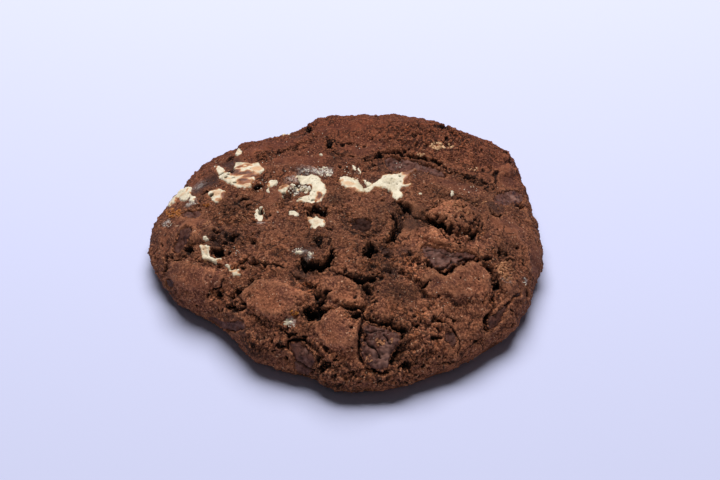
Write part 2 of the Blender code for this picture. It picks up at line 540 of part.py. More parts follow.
def main():
    for obj in list(bpy.data.objects):
        bpy.data.objects.remove(obj)
    collection = bpy.data.collections.new("smores_cookie")
    cutters = bpy.data.collections.new("cutters")
    bpy.context.scene.collection.children.link(collection)
    bpy.context.scene.collection.children.link(cutters)

    dough = make_dough(collection)
    for name, row in CHUNKS.items():
        finish(make_piece(name, row, collection, cutters), CHOCOLATE_COLOUR, 0.4)
    for name, row in MARSHMALLOWS.items():
        finish(make_piece(name, row, collection, cutters), MARSHMALLOW_COLOUR, 0.6)
    pockets = dough.modifiers.new("pockets", "BOOLEAN")
    pockets.operation = "DIFFERENCE"
    pockets.solver = "EXACT"
    pockets.operand_type = "COLLECTION"
    pockets.collection = cutters
    finish(dough, DOUGH_COLOUR, 0.9)


main()
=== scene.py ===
# %% [markdown]
# # A smores cookie
# One thick chocolate cookie lies on a pale floor. Its crust is sandy, cracked and pitted,
# chunks of dark chocolate show flush in it, and torn patches of melted marshmallow lie
# on the back half. Everything below is set on one bare form of the cookie, in
# millimetres, and only the last step of each piece turns it into metres.

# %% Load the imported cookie
import json

import bmesh
import bpy
import numpy as np
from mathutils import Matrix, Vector
from mathutils.bvhtree import BVHTree

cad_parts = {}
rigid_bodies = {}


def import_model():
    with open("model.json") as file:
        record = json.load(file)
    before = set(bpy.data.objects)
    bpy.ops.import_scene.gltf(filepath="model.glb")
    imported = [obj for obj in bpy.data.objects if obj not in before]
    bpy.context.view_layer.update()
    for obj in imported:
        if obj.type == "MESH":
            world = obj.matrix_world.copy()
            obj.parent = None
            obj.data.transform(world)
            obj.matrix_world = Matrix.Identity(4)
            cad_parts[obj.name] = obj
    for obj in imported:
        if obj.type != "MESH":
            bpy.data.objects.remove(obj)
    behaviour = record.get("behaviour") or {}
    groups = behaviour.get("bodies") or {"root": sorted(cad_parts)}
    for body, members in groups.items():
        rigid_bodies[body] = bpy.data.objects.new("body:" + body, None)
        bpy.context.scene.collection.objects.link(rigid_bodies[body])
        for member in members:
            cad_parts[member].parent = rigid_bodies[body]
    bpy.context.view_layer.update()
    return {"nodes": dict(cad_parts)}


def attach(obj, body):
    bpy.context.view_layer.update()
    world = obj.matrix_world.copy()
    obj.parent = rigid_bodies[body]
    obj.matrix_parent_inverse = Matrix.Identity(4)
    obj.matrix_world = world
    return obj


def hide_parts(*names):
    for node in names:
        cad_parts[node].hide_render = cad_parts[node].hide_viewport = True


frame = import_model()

MM = 0.001
print("solids loaded:", len(frame["nodes"]))

# %% [markdown]
# ## Noise
# Baked dough is uneven at every size, from broad swells to sand. Two kinds of noise give
# that: smooth noise for swells and wrinkles, and cell noise, the distance to the nearest
# of many strewn points, for pores and grains. Both work on whole arrays of points, which
# is far quicker than asking for one point at a time.

# %% Smooth noise and cell noise
TABLE = 256
SMOOTH_SHIFT, CELL_SHIFT = 19.7, 13.3     # how far a seed moves a pattern, in cells
SMOOTH_GAIN = 1.6                         # brings smooth noise to about -1 to 1
FARTHEST_POINT = 9.0                      # in cells, more than any distance in cell noise
draw = np.random.default_rng(5)
SHUFFLE = draw.permutation(TABLE)
SLOPES = draw.normal(size=(TABLE, 3))
SLOPES /= np.linalg.norm(SLOPES, axis=1)[:, None]
JITTER = draw.uniform(0, 1, size=(TABLE, 3))
CHANCE = draw.uniform(0, 1, TABLE)


def lattice_key(cell):
    """One number out of the table for each whole-numbered corner."""
    key = SHUFFLE[cell[:, 0] % TABLE]
    key = SHUFFLE[(key + cell[:, 1]) % TABLE]
    return SHUFFLE[(key + cell[:, 2]) % TABLE]


def smooth_noise(points, wavelength, seed):
    """Soft bumps between about -1 and 1."""
    place = points / wavelength + SMOOTH_SHIFT * seed
    cell = np.floor(place).astype(int)
    inside = place - cell
    ease = inside ** 3 * (inside * (inside * 6 - 15) + 10)
    total = np.zeros(len(points))
    for corner in np.ndindex(2, 2, 2):
        step = np.array(corner)
        share = np.prod(np.where(step == 1, ease, 1 - ease), axis=1)
        total += share * np.sum(SLOPES[lattice_key(cell + step)] * (inside - step), axis=1)
    return SMOOTH_GAIN * total


def cell_noise(points, size, seed):
    """Distance to the nearest strewn point, in cells, and that point's own chance from 0 to 1."""
    place = points / size + CELL_SHIFT * seed
    cell = np.floor(place).astype(int)
    nearest = np.full(len(points), FARTHEST_POINT)
    chance = np.zeros(len(points))
    for corner in np.ndindex(3, 3, 3):
        there = cell + np.array(corner) - 1
        key = lattice_key(there)
        gap = np.linalg.norm(there + JITTER[key] - place, axis=1)
        closer = gap < nearest
        nearest = np.where(closer, gap, nearest)
        chance = np.where(closer, CHANCE[key], chance)
    return nearest, chance


def ramp(value, start, end):
    """0 before start, 1 after end, with a soft change between."""
    t = np.clip((value - start) / (end - start), 0, 1)
    return t * t * (3 - 2 * t)


print("noise tables of", TABLE, "entries")

# %% [markdown]
# ## The camera
# The photograph looks down on the cookie at 42 degrees, from about a third of a metre,
# through a longish lens. The camera comes first because some places below are read off
# the picture in its 720 x 480 pixels, and a ray from the camera carries them to the crust.

# %% Camera
PICTURE = (720, 480)
VIEW_ELEVATION = np.radians(42.0)
VIEW_DISTANCE = 343.0                 # mm
LOOK_AT = np.array([3.5, -2.4, 6.2])  # mm, in the drawing of the cookie
LENS = 70.0
SENSOR = 36.0
CLIP_START = 0.01                     # metres
DRAWING_MIDDLE_Y = -1.0               # the drawing's y at the middle of the cookie's box

RIGHT = np.array([1.0, 0.0, 0.0])
FORWARD = np.array([0.0, np.cos(VIEW_ELEVATION), -np.sin(VIEW_ELEVATION)])
UPWARD = np.cross(RIGHT, FORWARD)
EYE = LOOK_AT - VIEW_DISTANCE * FORWARD


def to_metres(points):
    """From the drawing's millimetres to the frame's metres."""
    return (np.asarray(points) - np.array([0.0, DRAWING_MIDDLE_Y, 0.0])) * MM


def pixel_ray(pixel):
    """The way in which a pixel of the picture looks."""
    offset = (np.array(pixel) - np.array(PICTURE) / 2) / (LENS / SENSOR * PICTURE[0])
    return FORWARD + RIGHT * offset[0] - UPWARD * offset[1]


camera = bpy.data.objects.new("camera", bpy.data.cameras.new("camera"))
camera.data.lens = LENS
camera.data.sensor_width = SENSOR
camera.data.clip_start = CLIP_START
camera.location = to_metres(EYE)
camera.rotation_euler = (np.pi / 2 - VIEW_ELEVATION, 0, 0)
bpy.context.scene.collection.objects.link(camera)
bpy.context.scene.camera = camera
print("camera at", tuple(round(v, 4) for v in camera.location))

# %% [markdown]
# ## The bare cookie
# A cookie spreads from a ball of dough into an uneven disc: a rim line, a low dome with
# broad swells, and a foot that draws in. The form is the same as that of the solids: the
# rim's radius at equal angles, and swells and pads as ovals laid on the dome.
# To work on the crust as if it were a flat disc, each place on it gets flat coordinates:
# the direction from the middle, and the distance travelled along the crust. So a pit's
# width means the same on the steep wall as on the top.

# %% Form of the bare cookie
# distance of the rim from the middle in mm, from +X round to +Y, at equal angles
RIM_RADII = np.array([
    48.3, 47.5, 48.6, 51.1, 52.0, 49.0, 49.2, 47.9, 45.6, 45.3, 45.1, 40.3,
    40.4, 42.8, 44.3, 45.0, 45.3, 46.3, 47.8, 47.7, 45.8, 43.6, 40.7, 40.9,
    43.4, 43.9, 44.6, 47.3, 48.5, 48.2, 47.7, 48.4, 49.2, 48.8, 47.9, 48.0])
WIDEST_Z = 4.0             # height of the widest line
CROWN = 18.0               # height over the middle
SHOULDER = 15.0            # height that the dome would have at the rim
SHOULDER_POWER = 4.5       # how late the top turns down to the rim
FOOT_TUCK = 0.035          # share of the radius that the foot draws in
TOP_STEPS, FOOT_STEPS = 400, 40
# x, y, half-length, half-width, turn in degrees, height
SWELLS = [(17, 29, 26, 9, -8, 2.2), (-24, 22, 16, 12, 30, 0.6), (-2, 4, 12, 12, 0, -1.6),
          (-30, -2, 12, 9, 0, -1.2), (25, -14, 15, 10, 10, 1.2), (-10, -22, 16, 8, -10, 0.8)]
PADS = [(19, 25, 19, 8.6, -14, 1.2), (-16, -30.6, 10.5, 4.9, -14, 1.5),
        (0.6, -39.6, 6, 3.6, -22, 1.3), (25.6, -26.2, 9.8, 5.2, 6, 1.5),
        (-34.2, -19.6, 9, 4.2, -18, 1.2), (21.3, -14.2, 4.4, 2.2, -15, 1.1),
        (-35.6, -8.2, 6, 3.4, -20, 1.2), (25.4, -6.3, 6.8, 6, -12, 2),
        (37.6, -23.6, 3.4, 2.6, -35, 1.2)]


def rim_radius(theta):
    """A smooth closed curve through the rim's radii."""
    place = np.mod(theta, 2 * np.pi) / (2 * np.pi) * len(RIM_RADII)
    start = np.floor(place).astype(int)
    t = place - start
    nearby = (RIM_RADII[(start + k) % len(RIM_RADII)] for k in (-1, 0, 1, 2))
    before, here, after, beyond = nearby
    return 0.5 * (2 * here + (after - before) * t
                  + (2 * before - 5 * here + 4 * after - beyond) * t ** 2
                  + (3 * here - before - 3 * after + beyond) * t ** 3)


def oval_reach(x, y, row):
    """Distance from an oval's middle, 1 on its outline."""
    angle = np.radians(row[4])
    along = (x - row[0]) * np.cos(angle) + (y - row[1]) * np.sin(angle)
    across = (y - row[1]) * np.cos(angle) - (x - row[0]) * np.sin(angle)
    return np.hypot(along / row[2], across / row[3])


def top_height(x, y):
    """Height of the bare crust inside the rim."""
    rho = np.clip(np.hypot(x, y) / rim_radius(np.arctan2(y, x)), 0, 1)
    dome = CROWN - (CROWN - SHOULDER) * rho ** 2
    for row in SWELLS:
        dome = dome + row[5] * np.exp(-oval_reach(x, y, row) ** 2)
    for row in PADS:
        dome = dome + row[5] * np.clip(1 - oval_reach(x, y, row) ** 4, 0, 1)
    return WIDEST_Z + (dome - WIDEST_Z) * np.sqrt(np.clip(1 - rho ** SHOULDER_POWER, 0, 1))


def foot_share(z):
    """Radius at a height under the widest line, as a share of the rim's."""
    return 1 - FOOT_TUCK * np.clip(1 - z / WIDEST_Z, 0, 1) ** 2


# the section from the crown over the rim down to the foot
top_rho = np.sin(np.linspace(0, np.pi / 2, TOP_STEPS))
foot_z = np.linspace(WIDEST_Z, 0, FOOT_STEPS)[1:]
SECTION_RHO = np.concatenate([top_rho, foot_share(foot_z)])
SECTION_Z = np.concatenate([
    WIDEST_Z + (CROWN - WIDEST_Z) * np.sqrt(1 - top_rho ** SHOULDER_POWER), foot_z])
section_steps = np.hypot(np.diff(SECTION_RHO) * RIM_RADII.mean(), np.diff(SECTION_Z))
SECTION_RUN = np.concatenate([[0], np.cumsum(section_steps)])
RIM_RUN = SECTION_RUN[len(top_rho) - 1]
FOOT_RUN = SECTION_RUN[-1]


def crust(flat):
    """Points of the bare crust for places on the flat disc."""
    run = np.hypot(flat[:, 0], flat[:, 1])
    theta = np.arctan2(flat[:, 1], flat[:, 0])
    radius = np.interp(run, SECTION_RUN, SECTION_RHO) * rim_radius(theta)
    x, y = radius * np.cos(theta), radius * np.sin(theta)
    z = np.where(run <= RIM_RUN, top_height(x, y), np.interp(run, SECTION_RUN, SECTION_Z))
    return np.stack([x, y, z], axis=1)


def crust_normals(flat):
    """Directions straight out of the bare crust."""
    step = 0.15
    side = crust(flat + [step, 0]) - crust(flat - [step, 0])
    ahead = crust(flat + [0, step]) - crust(flat - [0, step])
    normal = np.cross(side, ahead)
    return normal / np.linalg.norm(normal, axis=1)[:, None]


print("from crown to foot:", round(FOOT_RUN, 1), "mm")

# %% [markdown]
# ## From the picture to the crust
# A pixel becomes a ray, the ray is followed to the first place inside the bare cookie,
# and that place is looked up on the flat disc. A pixel that just misses the cookie is
# drawn in towards its middle until it meets it.

# %% Places read off the picture
COOKIE_PIXEL = np.array([345.0, 254.0])
NEAR, FAR, STEP = 240.0, 460.0, 0.5       # mm from the camera
FINE_STEPS, RUN_STEPS = 51, 1201
DRAWN_IN = 0.99            # share of its distance at which a pixel off the cookie is tried again


def is_inside(points):
    """Which points are in the bare cookie."""
    x, y, z = points.T
    rho = np.hypot(x, y) / rim_radius(np.arctan2(y, x))
    under_crust = (rho < 1) & (z < top_height(x, y))
    return (z > 0) & np.where(z < WIDEST_Z, rho < foot_share(z), under_crust)


def first_hit(pixel):
    """Where the ray through a pixel meets the bare cookie, or nothing."""
    ray = pixel_ray(pixel)
    ray /= np.linalg.norm(ray)
    reach = np.arange(NEAR, FAR, STEP)
    within = is_inside(EYE + reach[:, None] * ray)
    if not within.any():
        return None
    near = reach[np.argmax(within)] - STEP
    fine = near + np.linspace(0, STEP, FINE_STEPS)
    return EYE + fine[np.argmax(is_inside(EYE + fine[:, None] * ray))] * ray


def point_to_flat(point):
    """The flat place whose crust point is nearest, in that point's own direction."""
    theta = np.arctan2(point[1], point[0])
    runs = np.linspace(0, FOOT_RUN, RUN_STEPS)
    line = np.stack([runs * np.cos(theta), runs * np.sin(theta)], axis=1)
    return line[np.argmin(np.linalg.norm(crust(line) - point, axis=1))]


def seen(numbers):
    """Flat places for pixels of the picture, given as x, y, x, y and so on."""
    places = []
    for pixel in np.reshape(numbers, (-1, 2)):
        point = first_hit(pixel)
        while point is None:
            pixel = COOKIE_PIXEL + DRAWN_IN * (pixel - COOKIE_PIXEL)
            point = first_hit(pixel)
        places.append(point_to_flat(point))
    return np.array(places)


def drawn(numbers):
    """The same for x, y in the drawing of the cookie, for the side that the picture hides."""
    points = np.reshape(numbers, (-1, 2))
    return np.array([point_to_flat(np.array([x, y, top_height(x, y)])) for x, y in points])


def strewn(rows):
    """Ovals in pixels become rows of flat x, y, half sizes, turn and the rest."""
    return [tuple(seen(row[:2])[0]) + tuple(row[2:]) for row in rows]


print("the picture's middle is at", seen((360, 240)).round(1), "on the flat crust")

# %% [markdown]
# ## What is set in the dough
# These outlines were drawn over the picture, point by point, in its pixels: x, y, x, y and
# so on. Each stands for one real piece: a chunk of chocolate or a patch of marshmallow.
# The number before an outline is how far the piece's face lies over (+) or under (-) the
# crust, in mm, and a chunk also has its tone, 1 for the plain colour; the low tones are
# partly painted shade.

# %% Outlines of chocolate and marshmallow
CHUNKS = {
    "chunk_right": (-0.2, 1.02, [420.3, 249, 423.1, 245.4, 428.7, 245, 434.3, 246, 440.7, 247.8,
        446.3, 248.8, 451.9, 251, 459.3, 251.8, 466.7, 251.4, 474, 252.8, 482, 256.4, 474, 259.8,
        464.5, 261.4, 458, 263, 453, 264.6, 449.5, 267.4, 444, 268.6, 439, 268, 433.6, 265.5, 430.6, 260.9,
        426.9, 258.1, 422.2, 255.4, 420.5, 252.6]),
    "chunk_front": (0.0, 1.0, [365, 321.4, 372, 323, 386, 327, 397, 331, 401.6, 337, 399, 346.5, 394.5, 352,
        390.5, 359, 390.5, 368, 383, 373, 375, 370.5, 366.5, 366, 362, 359, 360, 352, 362.3, 344,
        363.7, 335.5, 363.7, 327]),
    "chunk_front_left": (0.1, 1.0, [288.7, 342.5, 294, 341, 300.7, 342.5, 306, 346.5, 311, 351, 316, 356,
        317, 361, 313, 366, 313, 374, 306, 377, 298, 374.6, 295.4, 368, 293, 360, 290.5, 353]),
    "chunk_rim_right": (0.1, 0.9, [521.5, 292, 520, 296, 512.4, 301.7, 507, 308.7, 504, 315.8, 500, 323,
        494, 330, 488.5, 330, 487, 323, 490, 315.8, 498, 308.7, 504, 303, 511, 297.5, 518, 292]),
    "chunk_back_right": (0.0, 1.12, [491, 200.5, 494.5, 195, 499, 191.5, 507, 190, 516, 190.6, 522.5, 195.5,
        525, 201.6, 519, 204, 511, 204.4, 505, 207, 496, 205.6]),
    "chunk_left": (0.05, 0.92, [184.2, 211.8, 191, 209.8, 199, 209.8, 203, 212.5, 200.3, 217, 193.6, 219.5,
        185.5, 218.5, 181.5, 215.8]),
    "chunk_left_long": (0.3, 0.8, [185, 229.5, 190, 227.5, 194.8, 230.5, 194.5, 235.5, 190.5, 242, 186, 248,
        180.5, 253.5, 175, 255.5, 172.6, 251.5, 174.2, 245, 178, 237]),
    "chunk_rim_left": (0.15, 1.0, [205, 314.5, 213, 315.5, 223, 319.5, 232, 321, 241, 319.5, 247, 322,
        248.8, 327, 243, 331.5, 234, 332.5, 225, 329.5, 215, 325.5, 207, 321]),
    "chunk_rim_far_left": (0.05, 0.7, [165.5, 279, 170, 277, 175, 279, 176, 285, 173, 290, 167.5, 286.5]),
    "chunk_middle": (-0.6, 0.33, [348.5, 223, 351, 218, 358, 215.5, 367, 216, 373, 219, 374, 225, 369, 230,
        361, 230.5, 353, 229]),
    "chunk_front_right": (-0.1, 0.9, [443.5, 331.5, 450, 329, 456, 333.5, 458, 341, 455.5, 348.5,
        449.5, 347, 444.5, 340]),
    "chunk_back": (-0.8, 1.1, [384, 155.5, 392, 153.5, 402, 154.5, 412, 158, 424, 160.5, 434, 163.5,
        442, 168.5, 449, 175, 440, 176, 428, 171.5, 417, 168.5, 405, 170, 394, 171, 386, 165.5]),
}
MARSHMALLOWS = {
    "marshmallow_rim": (0.35, [166.5, 207.5, 172, 200.5, 178.8, 190.4, 184.2, 186, 189.6, 186.3, 191, 190.4,
        189.6, 195.7, 187, 199.7, 181.5, 201, 177.5, 198.6, 176, 202.4, 171.5, 206]),
    "marshmallow_left": (0.35, [214.3, 165.8, 217.7, 166, 222, 167.6, 224.6, 172.3, 227.7, 174.6,
        232.2, 171.8, 234.4, 167.6, 235, 162, 239, 161.4, 243, 163.4, 247, 162.8, 252.5, 163.4,
        257.9, 162.6, 259.3, 165.6, 263.2, 167.6, 263.9, 170.9, 259, 173.8, 255, 176, 253.2, 180,
        251, 185.3, 247, 187.2, 243, 186.7, 239, 188.9, 233.7, 185.9, 227, 182.5, 220.4, 178.5,
        217.4, 174.3, 216.5, 170.3]),
    "marshmallow_left_small": (0.3, [209, 192.4, 213.7, 191, 219, 189.7, 223, 190.4, 225.8, 193.7, 225, 197,
        220.4, 199, 217.7, 202.4, 214.3, 201, 211, 199.7, 208.3, 195.7]),
    "marshmallow_middle": (0.35, [296, 177, 299.4, 175, 306, 174.6, 312.8, 174, 318, 176.5, 320.5, 180,
        323.3, 183.7, 326.2, 189, 325.7, 193.7, 322.2, 198.4, 319.5, 202.6, 314, 204.9, 306, 204.5,
        297.2, 202.6, 298, 199, 303.4, 197.7, 309.5, 195.2, 311.8, 190.4, 312.2, 185.4, 306, 184.6,
        300.7, 183.2, 296.7, 180.5]),
    "marshmallow_middle_left": (0.25, [278, 189, 280.6, 185, 287.3, 185.7, 290.4, 187.5, 286.8, 190.4,
        285.3, 195.7, 282.6, 195.2, 279.3, 191.4]),
    "marshmallow_back": (0.35, [339, 181.6, 345.4, 178, 352.4, 178.6, 358.8, 182.3, 363.9, 188.4,
        363.5, 193, 358, 194, 351, 192, 344, 189.5, 340.3, 184.6]),
    "marshmallow_back_right": (0.35, [364.2, 190.4, 368, 187.4, 373.5, 183.6, 379, 181, 383.3, 179.4,
        382, 177.4, 387, 176.6, 393, 176.4, 399, 175.4, 405.8, 173.6, 411.4, 171.2, 415.8, 170.4,
        414, 173.3, 409, 177.3, 404.6, 181.4, 403.4, 184.3, 411.6, 184.2, 410, 186.4, 403.4, 186.6,
        400.4, 188.2, 399.7, 191, 403, 194, 402, 197.8, 397.5, 200, 394, 198, 392.6, 193.6, 390.4, 190.2,
        386, 189, 379, 188.6, 373.5, 187, 370.7, 191, 366.6, 192.6]),
    "marshmallow_loop": (0.25, [260.9, 206.5, 263.2, 208.8, 264.2, 212.5, 263.4, 217, 261, 220.6,
        258.5, 221.3, 256, 219.4, 255, 215.5, 256.5, 212, 258.8, 209.4]),
    "marshmallow_star": (0.3, [307.2, 217, 313.2, 218.2, 315.8, 215.6, 318.4, 218, 321.6, 219.4,
        325.4, 221.8, 323.2, 226.4, 319.8, 225.8, 315, 228.2, 311.8, 227.2, 311.8, 224.4, 309.8, 221.2]),
    "marshmallow_fold": (0.25, [201, 245.4, 209.8, 246.5, 210.3, 250, 209.6, 254.6, 213.2, 257.8,
        220.8, 258, 218.8, 260, 213.7, 263, 210.8, 260.2, 205.6, 257.7, 203, 260.5, 202.1, 254]),
    "marshmallow_fold_tip": (0.25, [224.2, 263.3, 229.9, 263.3, 232.6, 267.3, 237.8, 268.6, 240.2, 268.8,
        238, 271.5, 240, 274.4, 233.7, 275.7, 232.2, 272.9, 228.2, 267.7]),
}
print(len(CHUNKS), "chunks and", len(MARSHMALLOWS), "patches of marshmallow")

# %% [markdown]
# ## What the oven did
# Steam and shrinking opened cracks and pits, and left smoother plates of crust between
# them. Ragged pits are outlines, small ones are ovals with sizes in mm, and a crack is a
# line with a half-width. On the side that the picture hides the places are x and y in
# the drawing.

# %% Pits, cracks and plates
# depth in mm, then the outline in pixels
PIT_OUTLINES = [
    (4.8, [301, 256, 299, 262, 300, 268, 305, 270, 311, 270.5, 318, 271, 325, 270.5, 331.5, 266, 335, 258,
     334.5, 250, 330.5, 247.5, 329, 253, 326.5, 258.5, 322, 262, 315, 262, 309, 259.5, 305, 256]),
    (3.2, [306.5, 212.5, 312, 209.5, 311.5, 205, 316, 206, 320, 208, 327, 209, 326, 216, 321, 216,
     318, 212.5, 314.5, 213.5, 310.5, 217.3, 306, 216]),
    (4.6, [371.5, 236.5, 374, 241, 376.5, 247, 379, 250.5, 379, 254, 375, 254.5, 372.3, 258, 367, 258.5,
     365.3, 255, 364.8, 251, 367, 245.6, 369.3, 241]),
    (3, [313.2, 240, 315.4, 236.4, 320, 237.5, 324, 238, 323, 240.5, 320, 242.7, 319, 246.3, 315, 245,
     313.6, 242.7]),
    (2.6, [328.6, 240, 331.2, 243.4, 330, 247.4, 327.3, 250, 327.6, 244.7]),
    (3.4, [211.3, 249, 215, 247, 222, 248.5, 224, 252, 222.5, 256.5, 216, 257, 212, 254]),
    (2.6, [227.5, 240, 230, 235.5, 235, 235, 235.5, 240.5, 231.5, 242.8]),
    (2.4, [185.5, 249, 190, 247, 195.3, 250, 195.5, 255, 190, 257.5, 186, 254]),
    (2.4, [163, 255.5, 168, 255, 169.8, 259.5, 166, 262.5, 163.3, 260]),
    (2.8, [214.5, 291, 219, 290, 223.5, 292.5, 222, 296, 216, 296]),
    (2.6, [233.5, 292, 238, 287.5, 244.5, 289, 246.5, 292, 240, 294.5, 236, 296]),
    (2.4, [251, 283, 254, 277.5, 259.5, 276.5, 258.5, 281, 254.5, 284.5]),
    (2.6, [226.5, 306, 233, 305, 240, 307.5, 245, 306.5, 244.5, 311.5, 237, 312, 230, 310]),
    (3.6, [301, 312, 307, 306, 314, 308, 320, 305, 325, 309, 333.5, 310, 328, 315, 322, 318.5, 313, 322,
     305, 321, 302, 317]),
    (2.4, [316.5, 300, 319, 297.5, 323.5, 299, 325, 303, 321, 306, 317.5, 304]),
    (2.4, [353, 276, 362, 274, 372, 276.5, 376.5, 281, 371, 284.5, 363, 283, 356, 282]),
    (3.2, [362.5, 286, 367, 285, 371.5, 288, 371, 292.5, 365.5, 293, 362.8, 290]),
    (3, [345, 311.5, 353, 311.5, 361, 313, 363, 317.5, 356, 319.5, 348, 317.5]),
    (3.2, [398.5, 328.5, 402, 325.3, 407.5, 327, 407, 332, 402, 334, 398.8, 332.5]),
    (3, [398.8, 368, 401, 363, 408, 361.5, 413.5, 363, 412, 368.5, 405, 370.8]),
    (2.4, [376.3, 381, 380, 378.8, 385, 380, 383, 383.8, 378, 383.5]),
    (2.8, [317, 367.5, 322, 363.5, 330, 362, 331, 366, 326, 371.5, 320, 372]),
    (2.2, [274.5, 346.5, 279, 343.8, 285, 344.3, 285.3, 347, 278, 348]),
    (3, [478.5, 260, 484, 257.5, 491.5, 256.5, 492, 260.5, 486, 262.8]),
    (3.2, [497, 253.5, 501, 250.5, 506, 252, 504.5, 257, 498.5, 257]),
    (3, [493, 275, 497.5, 274, 500, 281, 499.5, 288, 496, 294, 493.8, 288, 494.8, 281]),
    (2.6, [454, 243.5, 458, 241.5, 462.5, 243.5, 460, 246.3, 455.5, 246]),
    (3.2, [440.5, 268.5, 446, 268, 452.5, 265, 452, 269, 446, 272, 441, 271.5]),
    (2.8, [465, 262, 472, 260, 477.5, 257.5, 479, 259, 473, 262.5, 466, 264.5]),
    (2.6, [427.8, 218.5, 431, 217, 435.5, 219, 438.5, 222.5, 437, 224.5, 432, 223, 428.5, 221]),
    (3, [464.5, 233.5, 468, 231, 474, 232.5, 478.5, 229.5, 480, 232.5, 477, 238.5, 471, 239, 466, 236.5]),
    (2.2, [456, 227.5, 459.5, 226.8, 461.5, 229.5, 459.8, 233, 457, 232]),
    (2, [466.5, 224, 471, 223, 474, 220.5, 476.5, 222.5, 473, 226.5, 468, 226.5]),
    (1.8, [450.5, 218, 454.5, 216.8, 455.5, 220, 452.5, 221.3]),
    (3, [363.5, 158.5, 367, 157.5, 369, 161, 366, 163.5]),
    (3.2, [376, 156.5, 379, 153.3, 384, 152.8, 383.5, 157, 378.5, 158.8]),
    (2.6, [370, 165, 373.5, 163.8, 376, 166.5, 372.5, 168.3]),
    (2.2, [388.5, 172.5, 392, 171, 394, 173.5, 390, 175]),
    (2.4, [251.5, 186.5, 256, 183, 261.5, 184, 260, 188.5, 254.5, 191.5]),
    (2.4, [434, 125.5, 440, 123.3, 447, 126.5, 449.5, 131, 443, 131.5, 436, 130]),
    (2.2, [304.5, 128.5, 309, 126, 314, 130, 311, 135, 305.5, 134]),
    (2.4, [326.5, 139.5, 331, 138.5, 333.5, 143, 330.5, 150, 327, 148]),
]
# pixel x, pixel y, half-length and half-width in mm, turn in degrees, depth in mm
small_pit_rows = strewn([
    (164.5, 270.5, 1, 0.7, 0, 1.4), (179, 261, 1.9, 0.6, -10, 1.3), (326, 348, 0.9, 0.9, 0, 1.4),
    (244, 261, 1.3, 0.4, 30, 1.3), (436, 337, 1.6, 0.7, 0, 1.6), (527, 291, 0.8, 1.8, 20, 1.7),
    (512, 310, 0.7, 0.5, 0, 1), (518, 180, 1.1, 0.7, 0, 1), (484, 169, 1, 0.6, 20, 1.1),
    (232, 171, 1, 1.3, 0, 1.6), (230, 158, 1.6, 1, 30, 1.6), (243, 199, 1.4, 0.9, 10, 1.2),
    (236, 203, 1.1, 0.8, 0, 1.1), (330, 229, 0.9, 0.7, 0, 1.2), (303, 228, 0.9, 0.5, 10, 0.9),
    (263, 152, 1.8, 0.5, 28, 0.8), (293, 150, 1.4, 0.4, 25, 0.7), (451, 231, 0.9, 0.6, -30, 1.2),
    (456, 223, 0.5, 0.4, 0, 0.9), (461, 219, 0.5, 0.4, 0, 0.8), (464, 222.5, 0.5, 0.4, 0, 0.9),
    (453, 211.5, 0.4, 0.3, 0, 0.7), (446, 222, 0.4, 0.4, 0, 0.7), (471, 216, 0.5, 0.4, 0, 0.8),
    (459, 206.5, 0.4, 0.3, 0, 0.6), (462.5, 214.5, 0.5, 0.3, 0, 0.8), (469, 229, 0.6, 0.5, 0, 1),
    (205, 193, 1, 0.8, 0, 1.2), (202, 186, 1.2, 0.7, 0, 1), (261, 212, 0.55, 1.3, 20, 1.5),
    (211.6, 196.5, 0.6, 0.5, 0, 1.3), (284.5, 196.5, 0.6, 0.5, 0, 1.2), (306, 191, 1.2, 0.5, 0, 0.8),
    (336, 360, 0.9, 0.6, 0, 1), (352, 372, 1.1, 0.5, 0, 1), (340, 383, 1, 0.5, 10, 0.9),
    (414, 376, 0.8, 0.5, 0, 0.8), (424, 350, 0.7, 0.5, 0, 0.8), (476, 340, 1.2, 0.5, 20, 0.9),
    (216, 233, 1, 0.6, 20, 1.2), (224, 242, 0.8, 0.6, 0, 1.1), (219, 228, 0.8, 0.5, 0, 1)])
